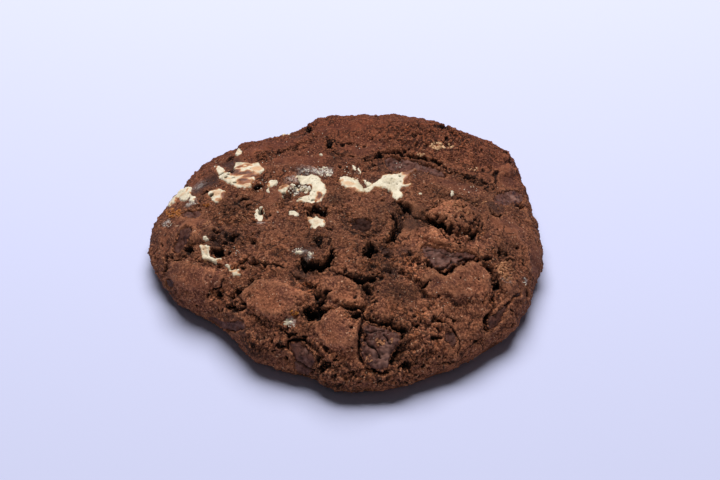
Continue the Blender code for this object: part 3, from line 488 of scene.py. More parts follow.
# half-width and depth in mm, then the line in pixels
CRACKS = [
    (0.42, 2.2, [363, 160, 370, 162, 378, 156, 386, 151.8, 400, 152, 408.6, 154.9, 417, 157.5, 428, 158.8,
     436.6, 160.5, 442.2, 164, 448, 170.3, 460.5, 174.5, 470.3, 178.8, 479, 181.6]),
    (0.4, 1.4, [490, 166.5, 494, 167.5, 497, 172, 496, 180, 498, 188]),
    (0.75, 3, [397, 201.5, 401, 203, 405.8, 206.8, 407.2, 211, 414.2, 217.3]),
    (0.7, 3, [391.5, 216, 395.5, 219.5, 397.5, 224, 397.3, 229.3, 395.5, 234, 390.3, 240, 386, 243]),
    (0.35, 1.2, [414, 217, 420, 217.5, 427, 220]),
    (0.5, 2.6, [427, 217.5, 431.5, 221, 439.8, 227, 446.2, 231.5, 451.8, 237, 457, 239.5]),
    (0.35, 1.3, [414.5, 219, 421, 224.5, 432, 227, 441, 232, 448, 238.5]),
    (0.3, 1.2, [452, 206, 456, 210, 461, 211, 466, 209]),
    (0.45, 1.5, [425, 217, 427, 212, 433, 207, 441, 203, 451, 202.4, 459, 201, 466, 204, 472, 209]),
    (0.3, 1.2, [474, 211, 480, 216, 482, 224, 481, 231]),
    (0.6, 3, [429.5, 261.5, 433, 267.5, 438, 271.2, 444.4, 272.6, 450.8, 271, 454.5, 268, 460, 265.8,
     466, 264, 473, 261.3, 478, 258]),
    (0.5, 2.4, [485.7, 266.7, 491.4, 268, 493.5, 273.7]),
    (0.3, 1, [496, 294, 494.5, 299, 495, 304.5, 491.4, 308]),
    (0.4, 1.8, [421, 287.5, 424.5, 285, 428.5, 281.8]),
    (0.3, 1.2, [329, 271.5, 340, 273, 349.6, 274.4, 355.3, 278]),
    (0.55, 2.4, [353, 277.5, 358, 281.5, 363, 287, 367, 292]),
    (0.75, 3.4, [342, 308.5, 350, 308.3, 359, 308.8, 362.5, 311.5]),
    (0.65, 2.8, [362.5, 313.5, 367, 317.5, 372, 320.3, 379, 322.8, 386, 324.4, 394.5, 326, 399, 329]),
    (0.4, 1.8, [363.8, 331, 367, 335, 369.5, 340.5]),
    (0.4, 2, [395, 352, 399, 347.5, 400.5, 343]),
    (0.4, 2, [367.5, 368.5, 375, 372.5, 382, 375.2, 389, 374.5]),
    (0.3, 1.3, [425.4, 308.3, 429, 309.5, 432.5, 311.5]),
    (0.35, 1.6, [432, 318.6, 440.8, 320, 446.5, 324]),
    (0.35, 1.5, [447.5, 318.6, 451, 319.5, 455.5, 320]),
    (0.3, 1.3, [449.5, 327, 455, 332, 458.5, 338.5, 458.3, 346, 454.5, 354]),
    (0.4, 2, [484.3, 319, 484.8, 324.2, 486.8, 330, 490, 331.8]),
    (0.45, 2, [287, 339, 293, 338.4, 300.7, 340.5, 306, 343.5]),
    (0.35, 1.3, [283, 331, 290, 334, 297, 334]),
    (0.35, 1.6, [313.5, 354, 318.5, 358, 317.5, 364, 314, 368]),
    (0.3, 1.1, [186, 262, 179, 260.5, 173, 262]),
    (0.3, 1, [224, 280, 219, 287, 213, 291]),
    (0.3, 1, [243, 259, 249, 262, 262, 264, 271, 265, 285, 268, 299, 278]),
    (0.3, 1.1, [266, 262, 272, 263.5, 279, 262]),
    (0.4, 1.8, [309, 288, 314, 291, 316.5, 295, 318, 300]),
    (0.4, 1.8, [331.5, 290.5, 326.5, 292, 324.5, 296, 323, 301]),
    (0.3, 1.1, [377.5, 275.5, 384, 272.5, 391, 270, 397, 271]),
    (0.3, 1, [514, 259, 508, 260.5, 503, 259.5]),
    (0.3, 1, [519, 202, 524, 206, 530, 207]),
    (0.4, 1.6, [515, 205.5, 521, 206.5, 526, 208]),
    (0.4, 1.5, [488, 209, 492, 213.5, 499, 215.5, 506, 213]),
    (0.3, 0.9, [487, 181, 486, 187, 488, 193]),
    (0.35, 1.3, [330, 152, 340, 155, 352, 156, 361, 158]),
    (0.3, 0.9, [330, 141, 342, 143, 353, 142, 364, 145]),
    (0.35, 1, [436.5, 364, 446, 362, 457, 360, 469, 354]),
    (0.3, 0.9, [279, 151, 286, 149, 293, 147]),
    (0.3, 0.9, [318, 363, 308, 383]),
    (0.3, 1, [235, 203, 243, 207, 250, 204, 256, 200]),
]
CRACKS_BEHIND = [
    (0.7, 1.6, [-30, 29, -21, 34.5, -12, 37]),
    (0.7, 1.6, [4, 43.5, 14, 44.5, 24, 41.5]),
    (0.6, 1.3, [38, 28, 42, 22.5, 44.5, 15]),
]
# cracks in the chocolate itself
CHUNK_CRACKS = [
    (0.22, 0.6, [362.5, 336, 366, 342, 371, 346, 376, 349.5, 379.5, 355, 380.5, 359]),
    (0.5, 1, [362.5, 331, 366, 334, 365, 340]),
    (0.22, 0.5, [384, 334, 388, 339, 390, 343]),
    (0.22, 0.5, [368, 331, 374, 331.5, 381, 330]),
    (0.2, 0.4, [426, 249.5, 434, 250, 442, 252.5, 452, 256, 462, 257]),
    (0.3, 0.8, [441, 268, 447, 265, 452, 260, 454, 263]),
    (0.3, 0.7, [476, 257, 470, 259, 464, 259.5, 459, 262]),
    (0.3, 0.8, [292, 359, 299, 362.5, 306, 366.5, 313, 370]),
    (0.2, 0.5, [227, 329, 232, 330, 238, 333]),
    (0.2, 0.5, [499, 311, 504, 306, 510, 301]),
]
# where a black gap is open beside a chunk: pixel x, pixel y, half sizes in mm, turn
open_rows = strewn([
    (444, 271, 3.4, 2.4, 0), (467, 261, 3.6, 2.2, 20), (432, 265, 1.6, 2.4, 0), (363, 340, 1.5, 6, 0),
    (394, 356, 2, 2.6, 0), (399, 333, 2.5, 1.6, 0), (377, 371, 3, 1.4, 0), (305, 376, 2.5, 1.4, 0),
    (291, 345, 2.2, 1.6, 0), (488, 322, 1.4, 3.2, 0), (520, 206, 2.2, 1.2, 0)])
# grey bloom on the chunks: the same, then how strong
bloom_rows = strewn([
    (384, 357, 2.6, 3.4, 0, 1.3), (383, 344, 1.2, 1, 0, 0.4), (437, 256, 1.4, 1, 0, 1.4),
    (514, 197.5, 3, 1.2, -20, 1.7), (503, 305, 0.8, 4, -35, 1.2), (190, 236, 0.8, 1.6, 0, 0.6)])
# how crumbly the top of a chunk is; the others have 1
CRUMBLED = {"chunk_back": 2.4, "chunk_middle": 2.8, "chunk_front": 1.9, "chunk_back_right": 1.5}
# height in mm, then the outline in pixels
PLATES = [
    (0.7, [243, 290, 252, 283, 262, 279.5, 275, 279, 290, 283, 303, 288, 311, 293, 310, 299, 301, 304,
     297, 311, 288, 317, 277, 322, 267, 320, 257, 315, 248, 308, 242, 300]),
    (0.8, [312.6, 324, 325, 316, 334, 310.5, 343, 310, 345, 316, 353, 321, 361, 325, 363, 331, 361, 338,
     358.5, 343, 355, 350, 345, 352, 330, 349, 318, 342, 310, 333]),
    (0.7, [421, 273, 430, 269, 445, 271, 460, 266, 470, 262, 480, 263, 487, 268, 491, 280, 492, 292,
     486, 298, 470, 301, 455, 300, 440, 298, 428, 295, 420, 288]),
    (0.6, [170, 263, 178, 259, 190, 260, 203, 262, 214, 266, 228, 272, 230, 280, 220, 287, 205, 292,
     190, 292, 178, 287, 169, 276]),
    (0.6, [417, 236, 424, 233, 430.5, 229.8, 437, 231.5, 444, 237, 452, 243.5, 462, 247.5, 464, 250.5,
     452, 250, 440, 247, 427, 245, 418, 241]),
    (0.5, [178, 229, 190, 222, 204, 220, 215, 226, 218, 236, 208, 243, 194, 243, 180, 239]),
    (0.7, [318, 276, 331, 273.5, 345, 276, 355, 281, 361, 289, 365, 297, 371, 305, 361, 307.5, 345, 307,
     331, 301, 318, 295]),
    (0.5, [397, 203, 412, 199, 424, 205, 428, 213, 420, 216, 410, 212, 404, 206]),
    (0.5, [399, 222, 408, 218, 418, 219, 424, 226, 419, 235, 408, 242, 398, 240, 398, 231]),
    (0.85, [426, 217, 428, 212.5, 434, 208, 442, 205, 452, 204.5, 459, 203.5, 465, 206.5, 469, 210,
     475, 214, 478, 220, 475, 228, 468, 232, 461, 234, 452, 233, 445, 228.5, 437, 222]),
    (0.5, [498, 156, 504, 154, 510, 158, 511, 163, 504, 164, 499, 161]),
    (0.5, [495, 168, 504, 165, 514, 167, 518, 173, 511, 178, 500, 177]),
    (0.5, [499, 284, 507, 281, 516, 283, 521, 289, 517, 296, 507, 297, 500, 291]),
]
# creases between the lobes, also darkened with painted shade: half-width and depth in mm,
# then the line
VALLEYS = [
    (1.6, 1.2, [213, 295, 226, 299, 238, 297, 246, 288, 255, 279]),
    (2, 0.9, [207, 232, 216, 240, 226, 243, 236, 239]),
    (1.6, 1.1, [196, 262, 212, 266, 228, 268, 246, 262, 262, 265]),
    (1.3, 1.3, [300, 280, 310, 286, 318, 291, 323, 299, 318, 307, 308, 314]),
    (1.4, 1, [397, 270, 410, 277, 419, 285, 424, 294, 430, 303]),
    (1.3, 1.5, [483, 260, 490, 268, 496, 279, 496, 292, 490, 304]),
    (1.2, 0.9, [449, 171, 462, 177, 476, 183, 490, 185, 500, 192]),
    (1.6, 1.3, [346, 275, 358, 282, 367, 291, 371, 303, 364, 312]),
    (0.7, 0.6, [424, 219, 434, 225, 446, 233, 455, 240, 467, 241, 479, 238, 484, 228]),
    (1, 0.6, [424, 214, 426, 209, 433, 204, 443, 200, 455, 198.5, 466, 200, 474, 205]),
    (1.7, 1.5, [396, 203, 405, 209, 400, 217, 397, 227, 392, 238, 385, 246]),
    (1.6, 1.2, [299, 209, 312, 211, 327, 213]),
    (1.5, 1.4, [363, 318, 380, 323, 398, 328, 407, 331]),
    (1.7, 1.4, [407, 332, 405, 345, 398, 357, 394, 369]),
    (1.6, 1.3, [298, 339, 316, 350, 322, 360, 331, 366]),
    (1, 0.6, [245, 306, 257, 319, 272, 327, 292, 332]),
    (1.6, 1.2, [306, 172, 300, 186, 290, 196, 282, 204]),
    (1.5, 1.1, [262, 158, 280, 150, 296, 146, 314, 140]),
    (1.6, 1.2, [345, 213, 352, 230, 362, 236, 374, 233, 380, 222]),
]
# tone of the crust, partly its own colour and partly painted shade on shaded places and
# painted light on lit ones: pixel x, pixel y, half-length and half-width in mm, turn, then
# how much darker (+) or paler (-)
tone_light_and_shade_rows = strewn([
    (235, 206, 10, 5, 0, 0.5), (224, 243, 5.5, 3.5, 0, 0.6), (306, 226, 9, 5, 0, 0.3),
    (345, 232, 9, 7, 0, 0.35), (386, 214, 6, 6, 0, 0.35), (330, 190, 12, 4, 0, 0.3),
    (340, 134, 14, 5, 0, 0.2), (410, 163, 10, 3.5, -12, 0.35), (472, 182, 8, 3, -10, 0.5),
    (505, 200, 6, 4.5, 0, 0.45), (330, 380, 17, 3, 0, 0.45), (432, 366, 12, 3, 10, 0.25),
    (373, 250, 5, 4, 0, 0.5), (308, 274, 5, 2.5, 0, 0.55), (364, 286, 5, 4.5, 0, 0.5),
    (214, 318, 11, 3, -25, 0.4), (300, 128, 6, 2, 0, 0.5), (214, 160, 7, 2, 30, 0.4),
    (440, 130, 14, 4, -10, 0.3), (190, 205, 5, 4, 0, 0.3), (498, 176, 6, 4, -20, 0.35),
    (400, 345, 4, 6, 0, 0.3), (456, 284, 4, 2.6, 0, 0.25), (275, 300, 8.5, 5, 0, -0.9),
    (338, 332, 6.5, 4.5, 0, -0.6), (436, 237, 7.5, 3.2, 8, -1.6), (197, 230, 5, 3, 0, -0.35),
    (200, 276, 8.5, 4, 0, -0.9), (448, 208, 5, 3, 0, -0.6), (420, 300, 9, 3.5, 0, -0.4),
    (340, 292, 6, 4, 0, -0.4), (470, 288, 6, 4, 0, -0.25), (465, 150, 14, 5, -25, -0.35),
    (345, 378, 14, 3, 0, -0.5), (450, 352, 8, 2.5, 15, -0.3), (256, 350, 6, 2.2, -38, 1),
    (165, 290, 5, 2, -50, 0.4), (500, 235, 5, 6, 0, -0.2), (525, 240, 3, 9, 0, -0.4),
    (160, 255, 3, 6, 0, -0.3), (500, 288, 3, 3, 0, -0.3), (384, 308, 6, 3, 0, -0.3),
    (250, 258, 8, 3, 0, -0.25), (447, 194.5, 6.5, 1.6, 4, 0.35), (421, 210, 2.5, 3.5, 0, 0.4),
    (487, 214, 3, 4, 0, 0.25), (425, 226, 6, 1.5, -20, 0.5), (480, 245, 5, 3, 20, -0.3),
    (412, 220, 4.5, 4.4, 0, 1), (408, 228, 4, 4, 0, 0.6), (335, 201, 3.2, 3.2, 0, 0.7),
    (350, 174, 4, 2, 0, 0.6), (297, 248, 4, 3, 0, 0.35), (312, 240, 5, 5.5, 0, 0.45),
    (403, 296, 5.5, 4, 0, 0.95), (372, 258, 6, 6, 0, 0.35), (390, 273, 5, 5, 0, 0.4),
    (507, 252, 3.5, 7, 0, 0.55), (390, 294, 3, 3, 0, 0.4), (411, 294, 3, 3, 0, 0.4),
    (481, 204, 6, 3.5, -10, 0.4), (430, 190, 5, 4, 0, 0.4), (400, 210, 7, 5, 0, 0.5),
    (458, 200, 6.5, 2.2, 0, 0.5), (350, 160, 8, 5, 0, 0.3), (230, 212, 4, 5, 0, 0.3),
    (247, 287, 4, 3.5, 0, 0.3), (310, 321, 6, 3, 0, 0.3), (250, 347, 4, 3, -40, 0.9),
    (229, 160, 4, 3, 20, 0.9), (333, 162, 3, 3, 0, 0.6), (490, 175, 3, 3, 0, 0.3), (388, 170, 3, 2, 0, 0.4),
    (200, 297, 7.5, 6, -25, -1.3), (235, 263, 4, 3, 0, -0.8), (350, 308, 4, 4, 0, -0.7),
    (420, 173, 3, 1.5, 0, -0.6), (214, 280, 4, 3, 0, -0.5), (250, 312, 3, 3, 0, -1.5),
    (276, 326, 4, 3, -20, -1.6), (446, 216, 2.6, 3, 0, -0.9), (430, 329, 6, 8, 0, -1.2),
    (385, 130, 16, 4, 0, -0.25), (266, 266, 4, 2, 0, -0.4), (338, 356, 9, 4, 0, -1.1),
    (303, 288, 6, 4, 0, -0.9), (209, 290, 5, 4, 0, -1.1), (418, 370, 6, 3, 0, -0.45),
    (474, 240, 5, 5, 0, -0.6), (411, 266, 3.5, 4, 0, -1.1), (483, 296, 6, 3, 0, -1),
    (433, 212, 2, 2.5, 0, -0.6), (152, 250, 1.5, 8, 0, -0.5), (270, 220, 3, 3, 0, -0.25),
    (302, 210, 4, 2.5, 0, -0.3), (216, 297, 6, 4, 0, -0.6), (238, 304, 7, 4, 0, -0.8),
    (248, 287, 3.5, 3, 0, 0.35), (270, 267, 5, 2, 0, -0.5), (229, 267, 5, 3, 0, -0.6),
    (310, 285, 4, 3, 0, -0.6), (300, 253, 4, 3, 0, 0.4), (330, 204, 3.5, 3, 0, 0.5), (445, 268, 5, 3, 0, 0.4),
    (432, 277, 3, 3, 0, 0.4), (411, 275, 4, 4, 0, -0.7), (491, 303, 3, 5, 0, -0.6), (352, 322, 4, 3, 0, -0.4),
    (270, 309, 3, 3, 0, 0.25), (505, 240, 4, 5, 0, 0.3)])
# rough, spongy crust: pixel x, pixel y, half-length and half-width in mm, turn
sponge_rows = strewn([
    (430, 138, 16, 7, -12), (457, 222, 6.5, 4.5, 0), (400, 345, 16, 9, -15), (232, 240, 8, 7, 0),
    (330, 370, 16, 6, 0), (420, 325, 12, 5, -10), (345, 285, 8, 4, 0), (240, 300, 9, 4, 20),
    (385, 265, 9, 6, 0), (330, 384, 20, 4, 0), (400, 380, 12, 4, -8), (262, 345, 8, 4, -35),
    (410, 262, 7, 5, 0), (235, 218, 10, 6, 0), (500, 262, 5, 7, 0)])
# crust that baked smooth, with little sand
smooth_rows = strewn([
    (255, 150, 17, 5, 30), (190, 190, 9, 7, 35), (300, 160, 14, 4, 10), (345, 150, 14, 6, 0),
    (270, 196, 9, 5, 0), (190, 222, 8, 5, 0), (165, 245, 3, 8, 0), (345, 128, 12, 3, 0),
    (455, 185, 9, 3, -10), (500, 176, 8, 7, -30), (508, 225, 8, 6, -30), (535, 260, 4, 9, 0)])
# whitish film of sugar, partly painted glints: the same, then how dense
film_and_glint_rows = strewn([
    (319, 171, 4.6, 1.8, -6, 1), (303, 171, 2.2, 1.3, -10, 0.7), (325, 172.5, 3, 1.8, -10, 1),
    (300, 176, 1.6, 1, 0, 0.7), (293, 181, 2.2, 2, 0, 0.6), (197, 186, 2.6, 3, 30, 0.3),
    (192, 203, 1.8, 1.2, 0, 0.8), (168, 223, 1.8, 0.9, 25, 0.7), (231, 175, 1.2, 0.8, 0, 0.5),
    (262, 224, 1.2, 0.6, 0, 0.6), (301, 251, 2.2, 1, 0, 0.8), (309, 257, 1.2, 1.2, 0, 0.7),
    (292, 322, 1.4, 1.2, 0, 0.7), (399, 165, 1.6, 0.6, -10, 0.3), (525, 281, 0.7, 1, 0, 0.8),
    (505, 280, 1.5, 0.8, 0, 0.4), (296, 191, 2, 1.8, 0, 0.6)])
# dark crust, wet with melted chocolate or burnt syrup, and in some hollows painted shade: the
# same, then how dark
stain_and_shade_rows = strewn([
    (205, 184, 6.5, 4, 25, 0.9), (222, 238, 6.5, 4.5, 10, 0.45), (233, 165, 3, 4, 20, 0.8),
    (310, 172, 7, 3, -5, 0.5), (411, 166, 9, 4, -12, 0.8), (411, 223, 4, 4, 0, 0.35),
    (415, 176, 4.5, 2, 8, 0.3), (372, 183, 4.5, 2.5, 30, 0.5), (362, 223, 4.5, 4, 0, 0.5),
    (320, 297, 2.5, 2, 0, 0.6), (303, 272, 5, 2.5, 0, 0.5), (300, 137, 4, 2.5, 0, 0.6),
    (495, 207, 2.4, 2.6, 0, 0.7), (385, 250, 2.4, 1.8, 0, 0.8), (404, 252, 2, 1.6, 0, 0.6),
    (391, 272, 2.8, 1.4, 0, 0.7), (238, 325, 7, 3, -25, 0.5), (500, 200, 5, 3, 0, 0.3),
    (262, 231, 1.4, 1.2, 0, 0.5), (308, 251, 4.5, 3, 0, 0.65)])
print(len(PIT_OUTLINES) + len(small_pit_rows), "pits,", len(CRACKS) + len(CRACKS_BEHIND), "cracks,",
      len(PLATES), "plates")

# %% [markdown]
# ## How outlines and lines shape the crust
# Each outline turns into a distance: under zero inside it, over zero outside. The places
# are first shaken by fine noise, so that a smooth drawn line breaks into ragged dough.

# %% Distances to outlines and lines
FAR_OFF = 9.0      # mm; further than this nothing is worked out


def distance_to_line(flat, line):
    """Distance to a line of points, and how far along it from 0 to 1."""
    best = np.full(len(flat), FAR_OFF)
    run = np.zeros(len(flat))
    total = len(line) - 1
    for index in range(total):
        way = line[index + 1] - line[index]
        t = np.clip((flat - line[index]) @ way / (way @ way), 0, 1)
        gap = np.linalg.norm(flat - line[index] - t[:, None] * way, axis=1)
        closer = gap < best
        best = np.where(closer, gap, best)
        run = np.where(closer, (index + t) / total, run)
    return best, run


def distance_to_outline(flat, outline):
    """Distance to a closed outline, under zero inside it."""
    best, _ = distance_to_line(flat, np.concatenate([outline, outline[:1]]))
    inside = np.zeros(len(flat), bool)
    for start, end in zip(outline, np.roll(outline, -1, axis=0)):
        straddles = (start[1] > flat[:, 1]) != (end[1] > flat[:, 1])
        rise = np.where(end[1] == start[1], 1.0, end[1] - start[1])
        crossing = start[0] + (flat[:, 1] - start[1]) / rise * (end[0] - start[0])
        inside ^= straddles & (flat[:, 0] < crossing)
    return np.where(inside, -best, best)


def near_to(flat, places, margin):
    """Which points lie in the places' box, widened by a margin."""
    low, high = places.min(axis=0) - margin, places.max(axis=0) + margin
    return np.flatnonzero(np.all((flat > low) & (flat < high), axis=1))


def rounded(outline):
    """The outline with its corners cut once, so that it runs softer."""
    ahead = np.roll(outline, -1, axis=0)
    share = 0.22
    ends = [(1 - share) * outline + share * ahead, share * outline + (1 - share) * ahead]
    return np.stack(ends, axis=1).reshape(-1, 2)


def shaken(flat, points, *rows):
    """Flat places moved by noise; each row is an amount, a wavelength and a seed."""
    for amount, wavelength, seed in rows:
        moves = [smooth_noise(points, wavelength, seed + k) for k in range(2)]
        flat = flat + amount * np.stack(moves, axis=1)
    return flat


def carried(rows, way=seen):
    """The rows with their last item, a line in pixels or in the drawing, laid on the crust."""
    return [(*row[:-1], way(row[-1])) for row in rows]


chunk_lines = {name: rounded(seen(row[-1])) for name, row in CHUNKS.items()}
marshmallow_lines = {name: rounded(seen(row[-1])) for name, row in MARSHMALLOWS.items()}
plate_lines = [(height, rounded(line)) for height, line in carried(PLATES)]
pit_lines = carried(PIT_OUTLINES)
crack_lines = carried(CRACKS) + carried(CRACKS_BEHIND, drawn)
valley_lines = carried(VALLEYS)
chunk_crack_lines = carried(CHUNK_CRACKS)
print("outlines carried to the crust:", len(chunk_lines) + len(marshmallow_lines) + len(pit_lines))

# %% [markdown]
# ## The relief of the crust
# Broad unevenness, as the solids have, comes first. Plates stand up a little, sand and
# small pores roughen all but the plates, spongy places get deeper pores, and last the
# pits and cracks are dug. Beside the heights this gives masks, so that the colours can
# follow the forms, among them painted shade for creases and hollows and painted light and
# shade from the tone rows.

# %% Relief
# height, wavelength or size in mm, and seed: the swells, the lumps of rough crust, and the
# crumbs that stand in pits; then how far drawn outlines are shaken, finer each time
UNEVEN = ((0.8, 9.0, 1), (0.55, 4.2, 2), (0.22, 2.0, 3))
LUMPS = ((0.85, 2.3, 31), (0.65, 1.3, 32))
PIT_CRUMBS = ((0.45, 2.0, 44), (0.3, 1.1, 45))
TEARS = ((0.55, 2.6, 20), (0.45, 1.2, 22), (0.28, 0.6, 24))
PORES = ((2.1, 0.9, 0.22, 35), (1.2, 0.55, 0.28, 37))     # size, depth, share of cells, seed
PLATE_GAIN, PIT_GAIN = 1.5, 1.15      # of the heights and depths in the tables
PLATE_SLOPE = (-1.4, 0.3)             # mm from the outline, over which a plate rises
PIT_SLOPE = (-0.95, 0.2)              # the same for a pit's wall
PLATE_MARGIN, PIT_MARGIN, CRACK_MARGIN = 2.0, 3.5, 3.0     # mm round them that are worked out
DIP = 0.9               # mm that the dough lies lower under marshmallow
BASE_ROUGHNESS = 0.4    # of crust that is neither a plate nor spongy


def soft_oval(flat, row, hard):
    """1 in an oval, out to a hard share of it, and 0 outside it."""
    return 1 - ramp(oval_reach(flat[:, 0], flat[:, 1], row), hard, 1.15)


def shaken_points(points, amount, wavelength, seed):
    """Points in space moved a little by noise."""
    moves = [smooth_noise(points, wavelength, seed + k) for k in range(3)]
    return points + amount * np.stack(moves, axis=1)


def clumps(points, size, seed):
    """Rounded lumps with creases between them, from about -0.5 to 0.5."""
    nearest, _ = cell_noise(points, size, seed)
    return 0.55 - 1.3 * nearest ** 2


def rolling(points, rows):
    """Smooth noise added up; each row is a height, a wavelength and a seed."""
    return sum(height * smooth_noise(points, wavelength, seed) for height, wavelength, seed in rows)


def heaped(points, rows):
    """Lumps added up; each row is a height, a size and a seed."""
    return sum(height * clumps(points, size, seed) for height, size, seed in rows)


def strongest(flat, rows, hard):
    """The strongest oval at each place; a row's sixth number, if any, is its strength."""
    mask = np.zeros(len(flat))
    for row in rows:
        strength = row[5] if len(row) > 5 else 1.0
        mask = np.maximum(mask, strength * soft_oval(flat, row, hard))
    return mask


def raise_to(mask, near, values):
    """Raises a mask to the values, where they are higher."""
    mask[near] = np.maximum(mask[near], values)


def crust_relief(flat, fine=True):
    """Heights over the bare crust, in mm, and the masks, for flat places."""
    points = crust(flat)
    count = len(flat)
    lift = rolling(points, UNEVEN)
    torn = shaken(flat, points, *TEARS)

    plate = np.zeros(count)
    for height, line in plate_lines:
        near = near_to(flat, line, PLATE_MARGIN)
        gap = distance_to_outline(torn[near], line)
        raised = 1 - ramp(gap, *PLATE_SLOPE)
        lift[near] += PLATE_GAIN * height * raised
        raise_to(plate, near, raised)
    sponge = strongest(flat, sponge_rows, 0.3)
    calm = strongest(flat, smooth_rows, 0.3)

    dig = np.zeros(count)
    close = np.zeros(count)
    gulf = np.zeros(count)      # one half on the edge of a pit or a crack, 1 well inside it
    for depth, line in pit_lines:
        near = near_to(flat, line, PIT_MARGIN)
        gap = distance_to_outline(torn[near], line)
        raise_to(dig, near, PIT_GAIN * depth * (1 - ramp(gap, *PIT_SLOPE)))
        raise_to(close, near, 1 - ramp(gap, 0.0, 2.2))
        raise_to(gulf, near, np.clip(0.5 - gap / 1.2, 0, 1))
    for row in small_pit_rows:
        near = near_to(flat, np.array([row[:2]]), PIT_MARGIN)
        raise_to(dig, near, row[5] * soft_oval(torn[near], row, 0.35))
        reach = oval_reach(torn[near, 0], torn[near, 1], row)
        raise_to(gulf, near, np.clip(1.2 - 0.7 * reach, 0, 1))
    for width, depth, line in crack_lines:
        near = near_to(flat, line, CRACK_MARGIN)
        gap, run = distance_to_line(torn[near], line)
        narrow = 0.45 + 0.55 * np.sin(np.pi * run)
        narrow = narrow * (1 + 0.6 * smooth_noise(points[near], 2.6, 41))
        cut = 1 - ramp(gap / (width * narrow), 0.25, 1.25)
        raise_to(dig, near, depth * narrow * cut)
        raise_to(close, near, 1.1 * width * (1 - ramp(gap, 0.2, 1.8)))
        raise_to(gulf, near, np.clip(1 - 0.5 * gap / (width * narrow), 0, 1))
    valley_cuts = []
    for width, depth, line in valley_lines:
        near = near_to(flat, line, width + 3.0)
        gap, run = distance_to_line(torn[near], line)
        raise_to(close, near, 1 - ramp(gap, 0.6 * width, 1.6 * width))
        ends = 0.4 + 0.6 * np.sin(np.pi * run)
        valley_cuts.append((near, depth, ends * (1 - ramp(gap / width, 0.0, 1.1))))
    rough = np.maximum(BASE_ROUGHNESS * (1 - 0.95 * calm), np.maximum(sponge, close))
    rough = rough * (1 - 0.75 * plate)

    pore = np.zeros(count)
    if fine:
        bent = shaken_points(points, 0.35, 1.3, 36)
        lift += rough * heaped(bent, LUMPS)
        lift += (0.35 + 0.65 * rough - 0.2 * plate - 0.28 * calm) * 0.42 * clumps(bent, 0.8, 33)
        lift += 0.12 * (1 - 0.6 * calm) * smooth_noise(points, 0.6, 34)
        for size, deep, share, seed in PORES:
            nearest, chance = cell_noise(bent, size, seed)
            kept = chance < share * (0.2 + 1.5 * sponge + close) * (1 - 0.7 * plate)
            hole = kept * (1 - ramp(nearest, 0.12, 0.36))
            lift -= deep * hole
            pore = np.maximum(pore, hole)
    shade = np.zeros(count)
    # the creases are also darkened with painted shade
    for near, depth, cut in valley_cuts:
        lift[near] -= depth * cut
        raise_to(shade, near, 0.5 * cut)
    # tone, painted shade and painted light from the rows
    for row in tone_light_and_shade_rows:
        near = near_to(flat, np.array([row[:2]]), 1.2 * max(row[2:4]) + 1.0)
        shade[near] += row[5] * soft_oval(torn[near], row, 0.2)
    # crumbs stand in the pits, as high as the pit is deep
    ragged = 1 + 0.35 * smooth_noise(points, 1.7, 42) + 0.3 * smooth_noise(points, 0.8, 43)
    if fine:
        ragged -= heaped(bent, PIT_CRUMBS)
    lift -= dig * ragged
    return {"points": points, "lift": lift, "plate": plate, "rough": np.clip(rough, 0, 1),
            "stain_and_shade": strongest(torn, stain_and_shade_rows, 0.3), "film_and_glint": strongest(torn, film_and_glint_rows, 0.2),
            "shade": np.clip(shade, -1.6, 1), "gulf": gulf,
            "hollow": np.clip(dig * ragged / 2.2, 0, 1), "pore": pore}


# %% [markdown]
# ## The dough
# The crust starts as a square grid, which is squeezed into a disc and wrapped over the
# cookie. It is far finer than the finished mesh: once the relief is on it, a Decimate
# modifier keeps the small faces where the dough is ragged and drops them elsewhere. The
# underside is drawn in from the foot in rings, and closed in the middle.

# %% Grid on the crust
DOUGH_CELLS = 520
DOUGH_FACES = 186000
RING_SHARES = np.linspace(0.985, 0.03, 26)


def square_to_disc(square, radius):
    """Squeezes the square from -1 to 1 into a disc, ring by ring."""
    a, b = square[:, 0], square[:, 1]
    wide = np.abs(a) > np.abs(b)
    ring = np.where(wide, a, b)
    ratio = np.where(wide, b / np.where(a == 0, 1, a), a / np.where(b == 0, 1, b))
    angle = np.where(wide, np.pi / 4 * ratio, np.pi / 2 - np.pi / 4 * ratio)
    return radius * np.stack([ring * np.cos(angle), ring * np.sin(angle)], axis=1)


def vertex_array(mesh):
    """The places of a mesh's vertices."""
    places = np.zeros(3 * len(mesh.vertices))
    mesh.vertices.foreach_get("co", places)
    return places.reshape(-1, 3)


def mesh_of(bm, name):
    """Hands a bmesh over to a new mesh."""
    mesh = bpy.data.meshes.new(name)
    bm.to_mesh(mesh)
    bm.free()
    return mesh


def add_values(mesh, name, values):
    """Keeps one number for each vertex, for the materials to read."""
    layer = mesh.attributes.new(name, "FLOAT", "POINT")
    layer.data.foreach_set("value", np.ascontiguousarray(values, np.float32))


bm = bmesh.new()
bmesh.ops.create_grid(bm, x_segments=DOUGH_CELLS, y_segments=DOUGH_CELLS, size=1.0)
dough_mesh = mesh_of(bm, "cookie_crust")
dough_flat = square_to_disc(vertex_array(dough_mesh)[:, :2], FOOT_RUN)
relief = crust_relief(dough_flat)
print("crust grid of", len(dough_flat), "points; heights from",
      relief["lift"].min().round(1), "to", relief["lift"].max().round(1), "mm")

# %% [markdown]
# ## Room for what is set in the dough
# Dough has melted round each chunk, so it meets the chocolate closely, falls away under
# it and here and there climbs over its edge. Under marshmallow the dough only lies a
# little lower. The foot stays flat on the floor.

# %% Make room, then wrap the grid
CHUNK_ROOM = 2.2        # mm that the dough falls away under a chunk
PIECE_MARGIN = 2.5      # mm round a piece that are worked out
FREE_HEIGHT = 1.5       # mm above the floor at which the relief is at full height
UNDER_SLOPE = -0.55     # mm, under zero inside the outline, at which it has fallen in full
MEETING = 1.3           # mm outside the outline over which it comes up to the chocolate
CLIMB = 0.2             # mm that it stands over the chocolate's edge
KEPT_RELIEF = 0.6       # share of its own relief that it keeps there
RIM_GAP = 0.5           # mm, half the width of an open gap beside a chunk
RIM_GAP_DEPTH = 2.6     # mm
